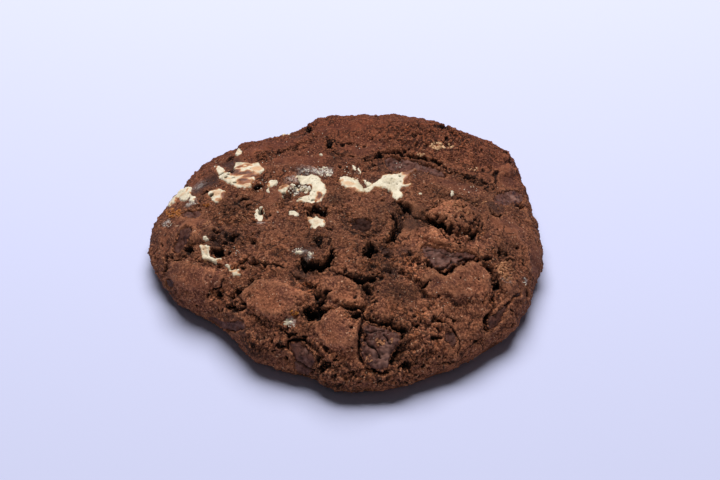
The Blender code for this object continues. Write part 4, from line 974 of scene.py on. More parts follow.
# how edges are shaken, coarsely and finely: mm, wavelength, seed
CHUNK_TEAR = ((0.42, 1.8, 51), (0.26, 0.75, 53))
MARSHMALLOW_TEAR = ((0.36, 1.8, 51), (0.24, 0.75, 53))
STIRS = ((0.55, 1.5, 91), (0.35, 0.8, 94))


def piece_gap(flat, points, line, tear):
    """Distance to a piece's outline, shaken so that it breaks up."""
    return distance_to_outline(shaken(flat, points, *tear), line)


def fitted_lift(relief, flat):
    """The relief with room made under chunks and marshmallow."""
    lift = relief["lift"].copy()
    for name, line in chunk_lines.items():
        near = near_to(flat, line, PIECE_MARGIN)
        gap = piece_gap(flat[near], relief["points"][near], line, CHUNK_TEAR)
        level = CHUNKS[name][0]
        under = 1 - ramp(gap, UNDER_SLOPE, 0.0)
        meets = 1 - ramp(gap, 0.0, MEETING)
        own = relief["lift"][near]
        smooth = own * (1 - meets) + meets * (own * KEPT_RELIEF + level + CLIMB)
        lift[near] = smooth * (1 - under) + under * (level - CHUNK_ROOM)
        opened = strongest(flat[near], open_rows, 0.6)
        opened *= np.exp(-((gap - RIM_GAP) / RIM_GAP) ** 2)
        lift[near] -= RIM_GAP_DEPTH * opened
        # the open gap is also painted dark with shade
        for mask in ("gulf", "hollow"):
            raise_to(relief[mask], near, opened)
    for name, line in marshmallow_lines.items():
        near = near_to(flat, line, PIECE_MARGIN)
        gap = piece_gap(flat[near], relief["points"][near], line, MARSHMALLOW_TEAR)
        lift[near] -= DIP * (1 - ramp(gap, -0.6, 0.25))
    return lift


dough_lift = fitted_lift(relief, dough_flat)
free = np.clip(relief["points"][:, 2] / FREE_HEIGHT, 0, 1)
dough_normals = crust_normals(dough_flat)
dough_points = relief["points"] + dough_normals * (dough_lift * free)[:, None]
# ragged walls: deep places are also moved sideways
stir = sum(shaken_points(dough_points, *row) - dough_points for row in STIRS)
dough_points += stir * (np.maximum(relief["hollow"], 0.35 * relief["rough"]) * free)[:, None]
dough_points[:, 2] = np.maximum(dough_points[:, 2], 0)
dough_mesh.vertices.foreach_set("co", to_metres(dough_points).ravel())
print("wrapped, reach", np.ptp(dough_points, axis=0).round(1), "mm")

# %% [markdown]
# ## Masks for the colours
# How much a place stands out from the crust round it sets how light it is painted: paler
# where it stands out, as painted light, and darker in hollows, as painted shade. On the
# regular grid that is the height less its blurred self, and running means over the rows
# and columns make a quick blur.

# %% Blur on the grid, masks, underside
def blurred(values, reach):
    """The running mean over reach cells each way, on the square grid, taken twice."""
    side = DOUGH_CELLS + 1
    sheet = values.reshape(side, side)
    for _ in range(2):
        for axis in (0, 1):
            pads = [(reach + 1, reach) if way == axis else (0, 0) for way in (0, 1)]
            total = np.cumsum(np.pad(sheet, pads, "edge"), axis)
            upper = total.take(range(2 * reach + 1, 2 * reach + 1 + side), axis)
            lower = total.take(range(side), axis)
            sheet = (upper - lower) / (2 * reach + 1)
    return sheet.ravel()


PROUD_MEASURES = ((4, 0.6), (1, 0.25))      # blur in cells, and mm that count as fully proud
proud = sum((dough_lift - blurred(dough_lift, cells)) / full for cells, full in PROUD_MEASURES)
add_values(dough_mesh, "proud", np.clip(proud, -1, 1))
for name in ("hollow", "gulf", "pore", "plate", "rough", "stain_and_shade", "film_and_glint"):
    add_values(dough_mesh, name, relief[name])
# the crust is darker towards the back and paler towards the front right, and the painted
# shade of the creases and the painted light and shade of the tone rows are laid on it
GRADIENT_REACH = 45.0                       # mm
GRADIENT_MIDDLE, GRADIENT_CHANGE = 0.98, 0.17
DARKER, PALER = 0.6, 0.35               # what full shade takes away, and what full light adds
lower_right = (dough_points[:, 0] * 0.4 - dough_points[:, 1]) / GRADIENT_REACH
baked = GRADIENT_MIDDLE + GRADIENT_CHANGE * np.clip(lower_right, -1, 1)
shade_share = np.where(relief["shade"] > 0, DARKER, PALER)
add_values(dough_mesh, "tone_and_shade", baked * (1 - shade_share * relief["shade"]))

bm = bmesh.new()
bm.from_mesh(dough_mesh)
edges = [edge for edge in bm.edges if edge.is_boundary]
share_now = 1.0
for share in RING_SHARES:
    ring = bmesh.ops.extrude_edge_only(bm, edges=edges)["geom"]
    ring_verts = [item for item in ring if isinstance(item, bmesh.types.BMVert)]
    edges = [item for item in ring if isinstance(item, bmesh.types.BMEdge)]
    bmesh.ops.scale(bm, vec=(share / share_now, share / share_now, 1.0), verts=ring_verts)
    share_now = share
bmesh.ops.contextual_create(bm, geom=edges)
bmesh.ops.recalc_face_normals(bm, faces=bm.faces)
bmesh.ops.triangulate(bm, faces=bm.faces)
fine_count = len(bm.faces)
bm.to_mesh(dough_mesh)
bm.free()
print("dough closed,", fine_count, "triangles before thinning")

# %% [markdown]
# ## Fewer triangles
# The closed crust has over half a million triangles. A Decimate modifier takes most of
# them away where the dough is even, and what is left becomes the dough's own mesh.

# %% Thin it out and take it into the scene
def link(name, mesh):
    """A new object in the scene."""
    thing = bpy.data.objects.new(name, mesh)
    bpy.context.scene.collection.objects.link(thing)
    return thing


def thinned(thing, faces):
    """Puts the decimated mesh in place of the object's own."""
    thin = thing.modifiers.new("thin out", "DECIMATE")
    thin.ratio = faces / len(thing.data.polygons)
    bpy.context.view_layer.update()
    evaluated = thing.evaluated_get(bpy.context.evaluated_depsgraph_get())
    mesh = bpy.data.meshes.new_from_object(evaluated)
    thing.modifiers.clear()
    thing.data = mesh
    return thing


dough = thinned(link("cookie_crust", dough_mesh), DOUGH_FACES)
dough.data.shade_smooth()
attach(dough, "root")
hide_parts("cookie_dough")
print("dough:", len(dough.data.polygons), "triangles")

# %% [markdown]
# ## Helpers for materials
# A material is a small net of nodes. These helpers add a node, set its sockets by name
# and take either a plain value or another node's output.

# %% Material helpers
def set_sockets(tree, node, sockets):
    """Sets a node's sockets to values, or joins them to outputs."""
    for key, value in sockets.items():
        if isinstance(value, bpy.types.NodeSocket):
            tree.links.new(value, node.inputs[key])
        else:
            node.inputs[key].default_value = value


def add_node(tree, kind, sockets=None, **settings):
    """A node with its settings and its sockets."""
    node = tree.nodes.new(kind)
    for key, value in settings.items():
        setattr(node, key, value)
    set_sockets(tree, node, sockets or {})
    return node


def times(tree, first, second):
    """A product."""
    return add_node(tree, "ShaderNodeMath", {0: first, 1: second}, operation="MULTIPLY").outputs[0]


def plus(tree, first, second):
    """A sum."""
    return add_node(tree, "ShaderNodeMath", {0: first, 1: second}, operation="ADD").outputs[0]


def vector_math(tree, operation, *values):
    """Arithmetic with places and directions."""
    node = add_node(tree, "ShaderNodeVectorMath", dict(enumerate(values)), operation=operation)
    return node.outputs[0]


def blend(tree, factor, first, second, mode="MIX"):
    """A mix of two colours."""
    sockets = {0: factor, 6: first, 7: second}
    return add_node(tree, "ShaderNodeMix", sockets, data_type="RGBA", blend_type=mode).outputs[2]


def ranged(tree, value, low, high, out_low=0.0, out_high=1.0):
    """Stretches a value from one range to another, and holds it there."""
    sockets = {"Value": value, "From Min": low, "From Max": high}
    sockets.update({"To Min": out_low, "To Max": out_high})
    return add_node(tree, "ShaderNodeMapRange", sockets).outputs[0]


def cover(tree, under, over, value, *spread):
    """Lays one colour over another where a value, stretched as above, is high."""
    return blend(tree, ranged(tree, value, *spread), under, over)


def object_place(tree):
    """The place on the piece, in metres."""
    return add_node(tree, "ShaderNodeTexCoord").outputs["Object"]


def noise(tree, place, scale, detail, roughness):
    """Noise between 0 and 1."""
    sockets = {"Vector": place, "Scale": scale, "Detail": detail, "Roughness": roughness}
    return add_node(tree, "ShaderNodeTexNoise", sockets).outputs["Fac"]


def stored(tree, name):
    """One of the numbers kept for each vertex."""
    return add_node(tree, "ShaderNodeAttribute", attribute_name=name).outputs["Fac"]


def new_material(name):
    """A material, its tree and its shader."""
    material = bpy.data.materials.new(name)
    material.use_nodes = True
    tree = material.node_tree
    return material, tree, tree.nodes["Principled BSDF"]


def colour(*srgb):
    """A colour given as it looks on the screen, 0 to 255, as the shader wants it."""
    share = np.array(srgb) / 255
    linear = np.where(share > 0.04045, ((share + 0.055) / 1.055) ** 2.4, share / 12.92)
    return (*linear, 1.0)


def new_group(name, inputs, outputs):
    """An empty node group with named sockets."""
    group = bpy.data.node_groups.new(name, "ShaderNodeTree")
    for label, kind, start in inputs:
        socket = group.interface.new_socket(label, in_out="INPUT", socket_type=kind)
        socket.default_value = start
    for label, kind in outputs:
        group.interface.new_socket(label, in_out="OUTPUT", socket_type=kind)
    return group, group.nodes.new("NodeGroupInput"), group.nodes.new("NodeGroupOutput")


# %% [markdown]
# ## Sand in the crust
# Dough, crumbs and chocolate all show grain finer than the mesh. One node group makes it:
# a shade between 0 and 1 and a normal with the same grain raised. Where the dough is
# crumbly, small lumps are added to the grain, with painted shade in the gaps between them.

# %% Node group for grain
WARP = 0.0007       # metres that the lumps' places are moved, so that they are not round
WARP_SCALE, CELL_SCALE = 0.7, 0.62      # of the grain's own scale

grain_tree, grain_in, grain_out = new_group(
    "baked grain",
    [("Scale", "NodeSocketFloat", 1500.0), ("Height", "NodeSocketFloat", 0.0001),
     ("Crumbly", "NodeSocketFloat", 0.0)],
    [("Shade", "NodeSocketFloat"), ("GapShade", "NodeSocketFloat"), ("Normal", "NodeSocketVector")])
grain_place = object_place(grain_tree)
grain_scale = grain_in.outputs["Scale"]
coarse_grain = noise(grain_tree, grain_place, grain_scale, 4.0, 0.6)
warp_scale = times(grain_tree, grain_scale, WARP_SCALE)
warp = add_node(grain_tree, "ShaderNodeTexNoise", {"Vector": grain_place, "Scale": warp_scale})
warp = vector_math(grain_tree, "SUBTRACT", warp.outputs["Color"], (0.5, 0.5, 0.5))
warp = vector_math(grain_tree, "MULTIPLY_ADD", warp, (WARP, WARP, WARP), grain_place)
cell_scale = times(grain_tree, grain_scale, CELL_SCALE)
cells = add_node(grain_tree, "ShaderNodeTexVoronoi", {"Vector": warp, "Scale": cell_scale})
lumps_and_gap_shade = []
for spread in ((0.1, 0.75, 1.0, 0.0), (0.48, 0.72)):
    value = ranged(grain_tree, cells.outputs["Distance"], *spread)
    lumps_and_gap_shade.append(times(grain_tree, value, grain_in.outputs["Crumbly"]))
lumps, gap_shade = lumps_and_gap_shade
height = plus(grain_tree, coarse_grain, lumps)
bump_sockets = {"Height": height, "Distance": grain_in.outputs["Height"], "Strength": 1.0}
grain_bump = add_node(grain_tree, "ShaderNodeBump", bump_sockets)
grain_outputs = {"Shade": coarse_grain, "GapShade": gap_shade, "Normal": grain_bump.outputs[0]}
set_sockets(grain_tree, grain_out, grain_outputs)


def use_grain(tree, scale, height, crumbly=0.0):
    """The grain's shade, the painted shade in its gaps, and its normal."""
    sockets = {"Scale": scale, "Height": height, "Crumbly": crumbly}
    group = add_node(tree, "ShaderNodeGroup", sockets, node_tree=grain_tree)
    return group.outputs["Shade"], group.outputs["GapShade"], group.outputs["Normal"]


print("grain group ready")

# %% [markdown]
# ## Colour of the dough
# The crust is a cool dark brown, lighter and warmer where it stands out, as painted light,
# near black in the pits with painted shade, and a little purple where chocolate has melted
# into it.

# %% Dough material
CRUST = colour(129, 76, 53)
CRUST_DARK = colour(62, 31, 23)
CRUST_PALE = colour(172, 112, 80)
CRUST_PURPLE = colour(99, 58, 46)
CRUST_WARM = colour(152, 86, 50)
BACK_TINT = (0.93, 0.73, 0.70, 1.0)
SUGAR = colour(200, 160, 130)
SUGAR_FILM_AND_GLINT = colour(220, 211, 204)
# painted shade for the edges of pits and cracks, the gaps between crumbly lumps, and fine cracks and creases
CREVICE_SHADE = colour(34, 17, 12)
# painted shade for the insides of pits, pores, and the cracks and gaps in the chocolate
DEEP_SHADE = colour(22, 10, 7)
STAIN_AND_SHADE = colour(58, 34, 28)
WANDER = 0.003       # metres that the thin cracks stray

dough_material, tree, shader = new_material("baked dough")
place = object_place(tree)
rough_value = stored(tree, "rough")
crumbly = ranged(tree, rough_value, 0.15, 0.9)
grain_height = ranged(tree, rough_value, 0.03, 0.16, 0.00028, 0.00042)
shade, gap_shade, normal = use_grain(tree, 2200.0, grain_height, crumbly)
grainy = ranged(tree, rough_value, 0.03, 0.16, 0.3, 1.0)
patches = noise(tree, place, 170.0, 2.0, 0.5)
streaks = noise(tree, place, 420.0, 3.0, 0.6)
specks = noise(tree, place, 1500.0, 2.0, 0.6)
tone = cover(tree, CRUST_PURPLE, CRUST, patches, 0.38, 0.62)
warmth = times(tree, crumbly, ranged(tree, streaks, 0.45, 0.65))
tone = blend(tree, warmth, tone, CRUST_WARM)
# painted light where the crust stands out, and painted shade in its hollows
proud_value = stored(tree, "proud")
tone = cover(tree, tone, CRUST_PALE, proud_value, 0.0, 0.9, 0.0, 0.7)
tone = cover(tree, tone, CRUST_DARK, proud_value, 0.0, -0.8, 0.0, 0.85)
dark_grain = times(tree, grainy, ranged(tree, shade, 0.46, 0.34, 0.0, 0.85))
tone = blend(tree, dark_grain, tone, CRUST_DARK)
pale_grain = times(tree, grainy, ranged(tree, shade, 0.51, 0.63, 0.0, 0.85))
tone = blend(tree, pale_grain, tone, CRUST_PALE)
# painted shade in the gaps between crumbly lumps
tone = blend(tree, times(tree, gap_shade, 0.8), tone, CREVICE_SHADE)
tone = cover(tree, tone, SUGAR, specks, 0.66, 0.71, 0.0, 0.8)
# darker towards the back, with painted shade and painted light laid on the crust's tone
tone = blend(tree, 1.0, tone, stored(tree, "tone_and_shade"), "MULTIPLY")
backwards = add_node(tree, "ShaderNodeSeparateXYZ", {"Vector": place}).outputs["Y"]
tone = blend(tree, ranged(tree, backwards, 0.004, 0.03), tone,
                     blend(tree, 1.0, tone, BACK_TINT, "MULTIPLY"))
# thin cracks, painted as dark lines of shade, wander over the crust, but not over its plates
wander = add_node(tree, "ShaderNodeTexNoise", {"Vector": place, "Scale": 330.0, "Detail": 3.0})
wander = vector_math(tree, "MULTIPLY_ADD", wander.outputs["Color"], (WANDER, WANDER, WANDER), place)


def cell_edges(scale, *spread):
    """Lines between the cells of a warped pattern."""
    sockets = {"Vector": wander, "Scale": scale}
    cells = add_node(tree, "ShaderNodeTexVoronoi", sockets, feature="DISTANCE_TO_EDGE")
    return ranged(tree, cells.outputs["Distance"], *spread)


crackle = cell_edges(230.0, 0.012, 0.05, 1.0, 0.0)
crackle = times(tree, crackle, ranged(tree, patches, 0.50, 0.58))
off_plates = ranged(tree, stored(tree, "plate"), 0.0, 1.0, 0.85, 0.25)
crackle = times(tree, crackle, off_plates)
tone = blend(tree, crackle, tone, CREVICE_SHADE)
# fine creases painted with shade
creases = cell_edges(900.0, 0.02, 0.14, 0.6, 0.0)
creases = times(tree, creases, ranged(tree, streaks, 0.40, 0.60, 0.15, 1.0))
creases = times(tree, creases, grainy)
tone = blend(tree, creases, tone, CREVICE_SHADE)
# stains of melted chocolate, with painted shade in some hollows
tone = blend(tree, stored(tree, "stain_and_shade"), tone, STAIN_AND_SHADE)
# a whitish film of sugar, partly painted glints and wet highlights
film_and_glint = stored(tree, "film_and_glint")
film_and_glint = times(tree, film_and_glint, ranged(tree, streaks, 0.42, 0.56, 0.3, 1.0))
film_and_glint = times(tree, film_and_glint, ranged(tree, shade, 0.42, 0.54, 0.2, 1.0))
tone = blend(tree, film_and_glint, tone, SUGAR_FILM_AND_GLINT)
# painted shade darkens the edges and insides of pits, cracks and pores, broken up by the
# grain: the mask, the grain's share, where the painted shade starts and ends, how full it
# is, and its colour
for mask, grain_share, start, end, full, paint in (("gulf", 0.8, 0.92, 1.04, 0.9, CREVICE_SHADE),
                                                   ("hollow", 0.5, 0.65, 1.0, 0.95, DEEP_SHADE),
                                                   ("pore", 0.5, 0.65, 0.85, 0.9, DEEP_SHADE)):
    grain = times(tree, shade, grain_share)
    broken = plus(tree, stored(tree, mask), grain)
    tone = cover(tree, tone, paint, broken, start, end, 0.0, full)
roughness = ranged(tree, stored(tree, "stain_and_shade"), 0.0, 1.0, 0.92, 0.55)
set_sockets(tree, shader, {"Base Color": tone, "Normal": normal, "Roughness": roughness,
                           "Specular IOR Level": 0.2})
dough.data.materials.clear()
dough.data.materials.append(dough_material)

# %% [markdown]
# ## Pieces set in the crust
# A chunk or a patch of marshmallow is a sheet that follows the crust: a small grid laid
# over its outline, trimmed just outside it, where the dough already hides its edge, and
# given a body by extruding it down. So its visible edge is where it meets the dough.

# %% A sheet with a body
TRIM = 0.45      # mm outside the outline at which the sheet ends
SPARE = 0.2      # mm more on each side of the grid


def set_piece(name, line, tear, step, face_lift, depth):
    """A closed piece over an outline; face_lift gives its heights over the crust."""
    low, high = line.min(axis=0) - TRIM - SPARE, line.max(axis=0) + TRIM + SPARE
    cells_x, cells_y = np.ceil((high - low) / step).astype(int)
    bm = bmesh.new()
    bmesh.ops.create_grid(bm, x_segments=cells_x, y_segments=cells_y, size=0.5)
    bmesh.ops.scale(bm, vec=(*(high - low), 1.0), verts=bm.verts)
    bmesh.ops.translate(bm, vec=(*((low + high) / 2), 0.0), verts=bm.verts)
    flat = np.array([v.co[:2] for v in bm.verts])
    gap = piece_gap(flat, crust(flat), line, tear)
    bmesh.ops.delete(bm, geom=[v for v, d in zip(bm.verts, gap) if d > TRIM], context="VERTS")
    bmesh.ops.delete(bm, geom=[v for v in bm.verts if not v.link_faces], context="VERTS")
    grown = bmesh.ops.extrude_face_region(bm, geom=bm.faces[:], use_keep_orig=True)["geom"]
    under = {item for item in grown if isinstance(item, bmesh.types.BMVert)}
    flat = np.array([v.co[:2] for v in bm.verts])
    sunk = np.array([depth if v in under else 0.0 for v in bm.verts])
    relief = crust_relief(flat, fine=False)
    lift, values = face_lift(flat, piece_gap(flat, relief["points"], line, tear), relief)
    places = relief["points"] + crust_normals(flat) * (lift - sunk)[:, None]
    for vertex, position in zip(bm.verts, to_metres(places)):
        vertex.co = position
    bmesh.ops.recalc_face_normals(bm, faces=bm.faces)
    mesh = mesh_of(bm, name)
    for label, numbers in values.items():
        add_values(mesh, label, numbers)
    mesh.shade_smooth()
    return mesh


def edge_curve(gap, soft):
    """1 inside, falling in a rounded way to 0 on the outline and under it beyond."""
    return 1 - np.clip((gap + soft) / soft, 0, 2) ** 2


STREAK_LENGTH, STREAK_WIDTH = 4.5, 0.9      # mm, along a chunk and across it


def chunk_face(name):
    """A function that gives a chunk's heights and masks."""
    level, tone = CHUNKS[name][:2]
    line = chunk_lines[name]
    middle = line.mean(axis=0)
    _, axes = np.linalg.eigh((line - middle).T @ (line - middle))
    long_way = axes[:, 1]

    def lift(flat, gap, relief):
        points = relief["points"]
        along = (flat - middle) @ long_way
        across = (flat - middle) @ np.array([-long_way[1], long_way[0]])
        streak_places = [along / STREAK_LENGTH, across / STREAK_WIDTH, np.full(len(flat), level)]
        streaks = smooth_noise(np.stack(streak_places, axis=1), 1.0, 61)
        bent = shaken_points(points, 0.4, 1.3, 65)
        heights = relief["lift"] * 0.5 + level + 0.16 * streaks + 0.3 * smooth_noise(points, 2.6, 62)
        crumble = CRUMBLED.get(name, 1.0)
        small = clumps(bent, 1.2, 67)
        heights += crumble * (0.3 * clumps(bent, 2.4, 66) + 0.25 * small - 0.15)
        heights += 0.14 * smooth_noise(points, 0.7, 63)
        # painted shade between the small lumps of crumbly chocolate
        dark = 0.55 * (crumble - 1) * ramp(-small, 0.0, 0.4)
        # cracks are cut and painted dark with shade
        for width, depth, crack in chunk_crack_lines:
            near = near_to(flat, crack, 1.5)
            if len(near):
                away, _ = distance_to_line(shaken(flat[near], points[near], (0.35, 0.9, 64)), crack)
                cut = 1 - ramp(away / width / (1 + 0.5 * streaks[near]), 0.2, 1.2)
                heights[near] -= depth * cut
                raise_to(dark, near, cut)
        bloom = streaks.copy()
        for row in bloom_rows:
            bloom += row[5] * soft_oval(flat, row, 0.2)
        heights -= 0.5 * (1 - edge_curve(gap, 0.45))
        # painted shade along the edge, where the chunk meets the dough
        rim = gap + 0.35 * smooth_noise(points, 1.6, 68) + 0.2 * smooth_noise(points, 0.7, 69)
        dark = np.maximum(dark, 0.85 * ramp(rim, -0.45, 0.1))
        return heights, {"streak": bloom, "dark": dark, "tone": np.full(len(flat), tone)}
    return lift


CHUNK_STEP = 0.18       # mm, the grid's cells
CHUNK_DEPTH = 1.6       # mm from the face to the underside
chunks = []
for name, line in chunk_lines.items():
    piece = link(name + "_chocolate",
                 set_piece(name, line, CHUNK_TEAR, CHUNK_STEP, chunk_face(name), CHUNK_DEPTH))
    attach(piece, "root")
    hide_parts(name)
    chunks.append(piece)
print("chunks:", sum(len(piece.data.polygons) for piece in chunks), "faces")

# %% [markdown]
# ## Colour of the chocolate
# Dark chocolate that has been through the oven is dull: purple-brown, with a grey bloom in
# streaks, and a soft sheen where it still has its skin. Its cracks, the gaps between its
# crumbly lumps and its edge against the dough are darkened with painted shade.

# %% Chocolate material
CHOCOLATE = colour(96, 60, 51)
CHOCOLATE_DARK = colour(50, 27, 22)
BLOOM = colour(138, 101, 90)

chocolate_material, tree, shader = new_material("dark chocolate")
place = object_place(tree)
shade, _, normal = use_grain(tree, 1000.0, 0.00025)
clouds = noise(tree, place, 420.0, 4.0, 0.65)
tone = cover(tree, CHOCOLATE_DARK, CHOCOLATE, shade, 0.34, 0.54)
tone = cover(tree, tone, BLOOM, clouds, 0.5, 0.72, 0.0, 0.65)
tone = cover(tree, tone, BLOOM, stored(tree, "streak"), 0.2, 1.8, 0.0, 0.85)
tone = blend(tree, 1.0, tone, stored(tree, "tone"), "MULTIPLY")
# painted shade from the cracks, the lumps' gaps and the edge
tone = blend(tree, stored(tree, "dark"), tone, DEEP_SHADE)
roughness = ranged(tree, clouds, 0.3, 0.7, 0.45, 0.65)
sheen = times(tree, stored(tree, "tone"), 0.12)
set_sockets(tree, shader, {"Base Color": tone, "Normal": normal, "Roughness": roughness,
                           "Specular IOR Level": sheen})
for piece in chunks:
    piece.data.materials.append(chocolate_material)

# %% [markdown]
# ## Marshmallow
# Melted marshmallow is a thin torn skin, ivory where it stayed soft, toasted to orange
# brown along some edges and in streaks, with a few open pores.

# %% Marshmallow patches
# pixel x, pixel y, half-length and half-width in mm, turn, how toasted
toast_rows = strewn([
    (240, 167.5, 1.6, 0.9, 0, 0.9), (245, 173.6, 3.6, 1.1, -4, 1), (236, 173, 1.6, 1.2, 30, 1),
    (243, 181.2, 2, 0.9, 5, 1), (253, 175.8, 1.8, 0.7, 30, 1), (216, 169, 0.7, 1.4, 0, 0.8),
    (250, 164, 2.6, 0.6, 5, 0.7), (252, 182, 0.6, 1.6, 20, 0.6), (224.5, 195, 0.9, 1.5, 0, 0.95),
    (219, 200, 1.4, 0.7, 0, 0.6), (319, 197, 0.8, 2.2, 8, 1), (283, 187.5, 1.6, 0.9, 0, 0.7),
    (216, 191, 1.6, 0.6, 0, 0.6), (316, 202, 0.5, 1, 0, 0.8), (322, 181, 0.5, 1.2, -30, 0.5),
    (352, 192, 2, 0.8, -20, 0.8), (342, 183, 0.8, 0.9, 0, 0.4), (367, 184, 1.6, 0.7, 30, 0.7),
    (383, 175.5, 1.4, 0.5, 0, 0.9), (410.5, 173.5, 2.6, 1.3, 20, 0.95), (407, 181, 1.2, 2, 0, 0.9),
    (281, 188, 0.6, 0.5, 0, 0.7), (172, 205, 1, 0.6, 40, 0.4), (178, 200, 0.8, 0.5, 0, 0.8),
    (188, 190, 0.5, 1.4, 0, 0.5), (219, 259, 0.8, 0.5, 0, 0.6), (239, 272, 0.7, 0.8, 0, 0.5),
    (257, 169, 2.2, 1.4, 0, 0.4), (247, 186, 1.5, 0.6, 0, 0.35), (228, 179, 1.6, 0.6, -30, 0.35),
    (317, 222, 1.6, 1, 0, 0.2), (247, 167, 2, 0.6, 10, 0.6), (205, 250, 0.8, 2, 0, 0.3),
    (234, 271, 1, 0.8, 0, 0.4), (349, 187, 2.4, 1.4, -20, 0.35), (184, 195, 1.2, 1.6, -30, 0.25),
    (217, 195, 1.6, 1.2, 0, 0.35), (249, 176.5, 2.6, 1, 20, 0.9), (245, 182.5, 2.4, 1.3, 10, 0.85),
    (386, 176, 2.2, 0.8, 0, 0.9), (310, 219, 1.2, 0.8, 0, 0.5), (324, 222, 0.5, 1, 0, 0.5)])
# torn holes in the skin: the same, without a last number
hole_rows = strewn([
    (211.8, 196.6, 0.65, 0.6, 0), (282.4, 194, 0.7, 0.5, 0), (222, 174.5, 1, 0.35, 20),
    (226, 178, 0.45, 0.35, 0), (233, 178, 0.5, 0.3, 30), (235, 183.5, 0.5, 0.35, 0),
    (228.5, 175.5, 0.4, 0.3, 0), (299, 200, 0.7, 0.4, 0), (313, 200.5, 0.5, 0.4, 0), (181, 194, 0.5, 0.4, 0),
    (392, 181, 0.3, 0.25, 0), (400, 178, 0.3, 0.25, 0), (261, 212.3, 0.6, 1.5, -14)])
MARSHMALLOW_STEP = 0.16
MARSHMALLOW_DEPTH = 0.8
FULLER = 0.2                # mm that the skin lies over its outline
THIN_EDGE = 0.12            # mm that the skin's edge lies under the crust
WRINKLES = ((0.16, 1.8, 71), (0.1, 0.7, 72))
PORE_DEPTH = 0.35           # mm
HOLE_DEPTH = 2.2            # times a pore's


def marshmallow_face(name):
    """A function that gives a patch's heights and masks."""
    level = MARSHMALLOWS[name][0]

    def lift(flat, gap, relief):
        points = relief["points"]
        heights = relief["lift"] + (level + THIN_EDGE) * edge_curve(gap - FULLER, 0.5) - THIN_EDGE
        heights += rolling(points, WRINKLES)
        pores, chance = cell_noise(points, 1.1, 73)
        pore = (chance < 0.35) * (1 - ramp(pores, 0.12, 0.3))
        pore = np.maximum(pore, HOLE_DEPTH * strongest(flat, hole_rows, 0.6))
        heights -= PORE_DEPTH * pore
        toast = strongest(shaken(flat, points, (0.35, 1.0, 74)), toast_rows, 0.4)
        edge = (1 - ramp(-gap, 0.0, 0.35)) * ramp(smooth_noise(points, 1.7, 75), -0.1, 0.5)
        toast = np.maximum(toast, 0.6 * edge)
        return heights, {"toast": toast, "pore": pore}
    return lift


patches_made = []
for name, line in marshmallow_lines.items():
    piece = link(name + "_skin", set_piece(name, line, MARSHMALLOW_TEAR, MARSHMALLOW_STEP,
                                           marshmallow_face(name), MARSHMALLOW_DEPTH))
    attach(piece, "root")
    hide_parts(name)
    patches_made.append(piece)
print("marshmallow:", sum(len(piece.data.polygons) for piece in patches_made), "faces")

# %% [markdown]
# ## Colour of the marshmallow
# Ivory with duller clouds. Toasting turns it pale orange, then brown, and nearly black
# where it is burnt, and the pores and torn holes are dark.

# %% Marshmallow material
IVORY = colour(229, 217, 192)
IVORY_SHADE = colour(206, 190, 160)
TOAST = colour(146, 84, 48)
TOAST_PALE = colour(210, 158, 112)
PORE = colour(122, 114, 92)

marshmallow_material, tree, shader = new_material("melted marshmallow")
place = object_place(tree)
shade, _, normal = use_grain(tree, 1300.0, 0.00018)
clouds = noise(tree, place, 500.0, 3.0, 0.6)
tone = cover(tree, IVORY_SHADE, IVORY, clouds, 0.35, 0.6)
tone = cover(tree, tone, PORE, shade, 0.42, 0.30, 0.0, 0.7)
toast = stored(tree, "toast")
tone = cover(tree, tone, TOAST_PALE, toast, 0.1, 0.45)
tone = cover(tree, tone, TOAST, toast, 0.4, 0.75)
tone = cover(tree, tone, CRUST_DARK, toast, 0.85, 1.0, 0.0, 0.7)
tone = cover(tree, tone, PORE, stored(tree, "pore"), 0.2, 1.0, 0.0, 0.8)
tone = cover(tree, tone, CRUST_DARK, stored(tree, "pore"), 1.1, 1.8)
roughness = ranged(tree, clouds, 0.3, 0.7, 0.5, 0.7)
set_sockets(tree, shader, {"Base Color": tone, "Normal": normal, "Roughness": roughness})
for piece in patches_made:
    piece.data.materials.append(marshmallow_material)

# %% [markdown]
# ## Small torn bits of marshmallow
# Bits too small for parts of their own lie about the larger patches. They are made in the
# same way, and joined into one piece.

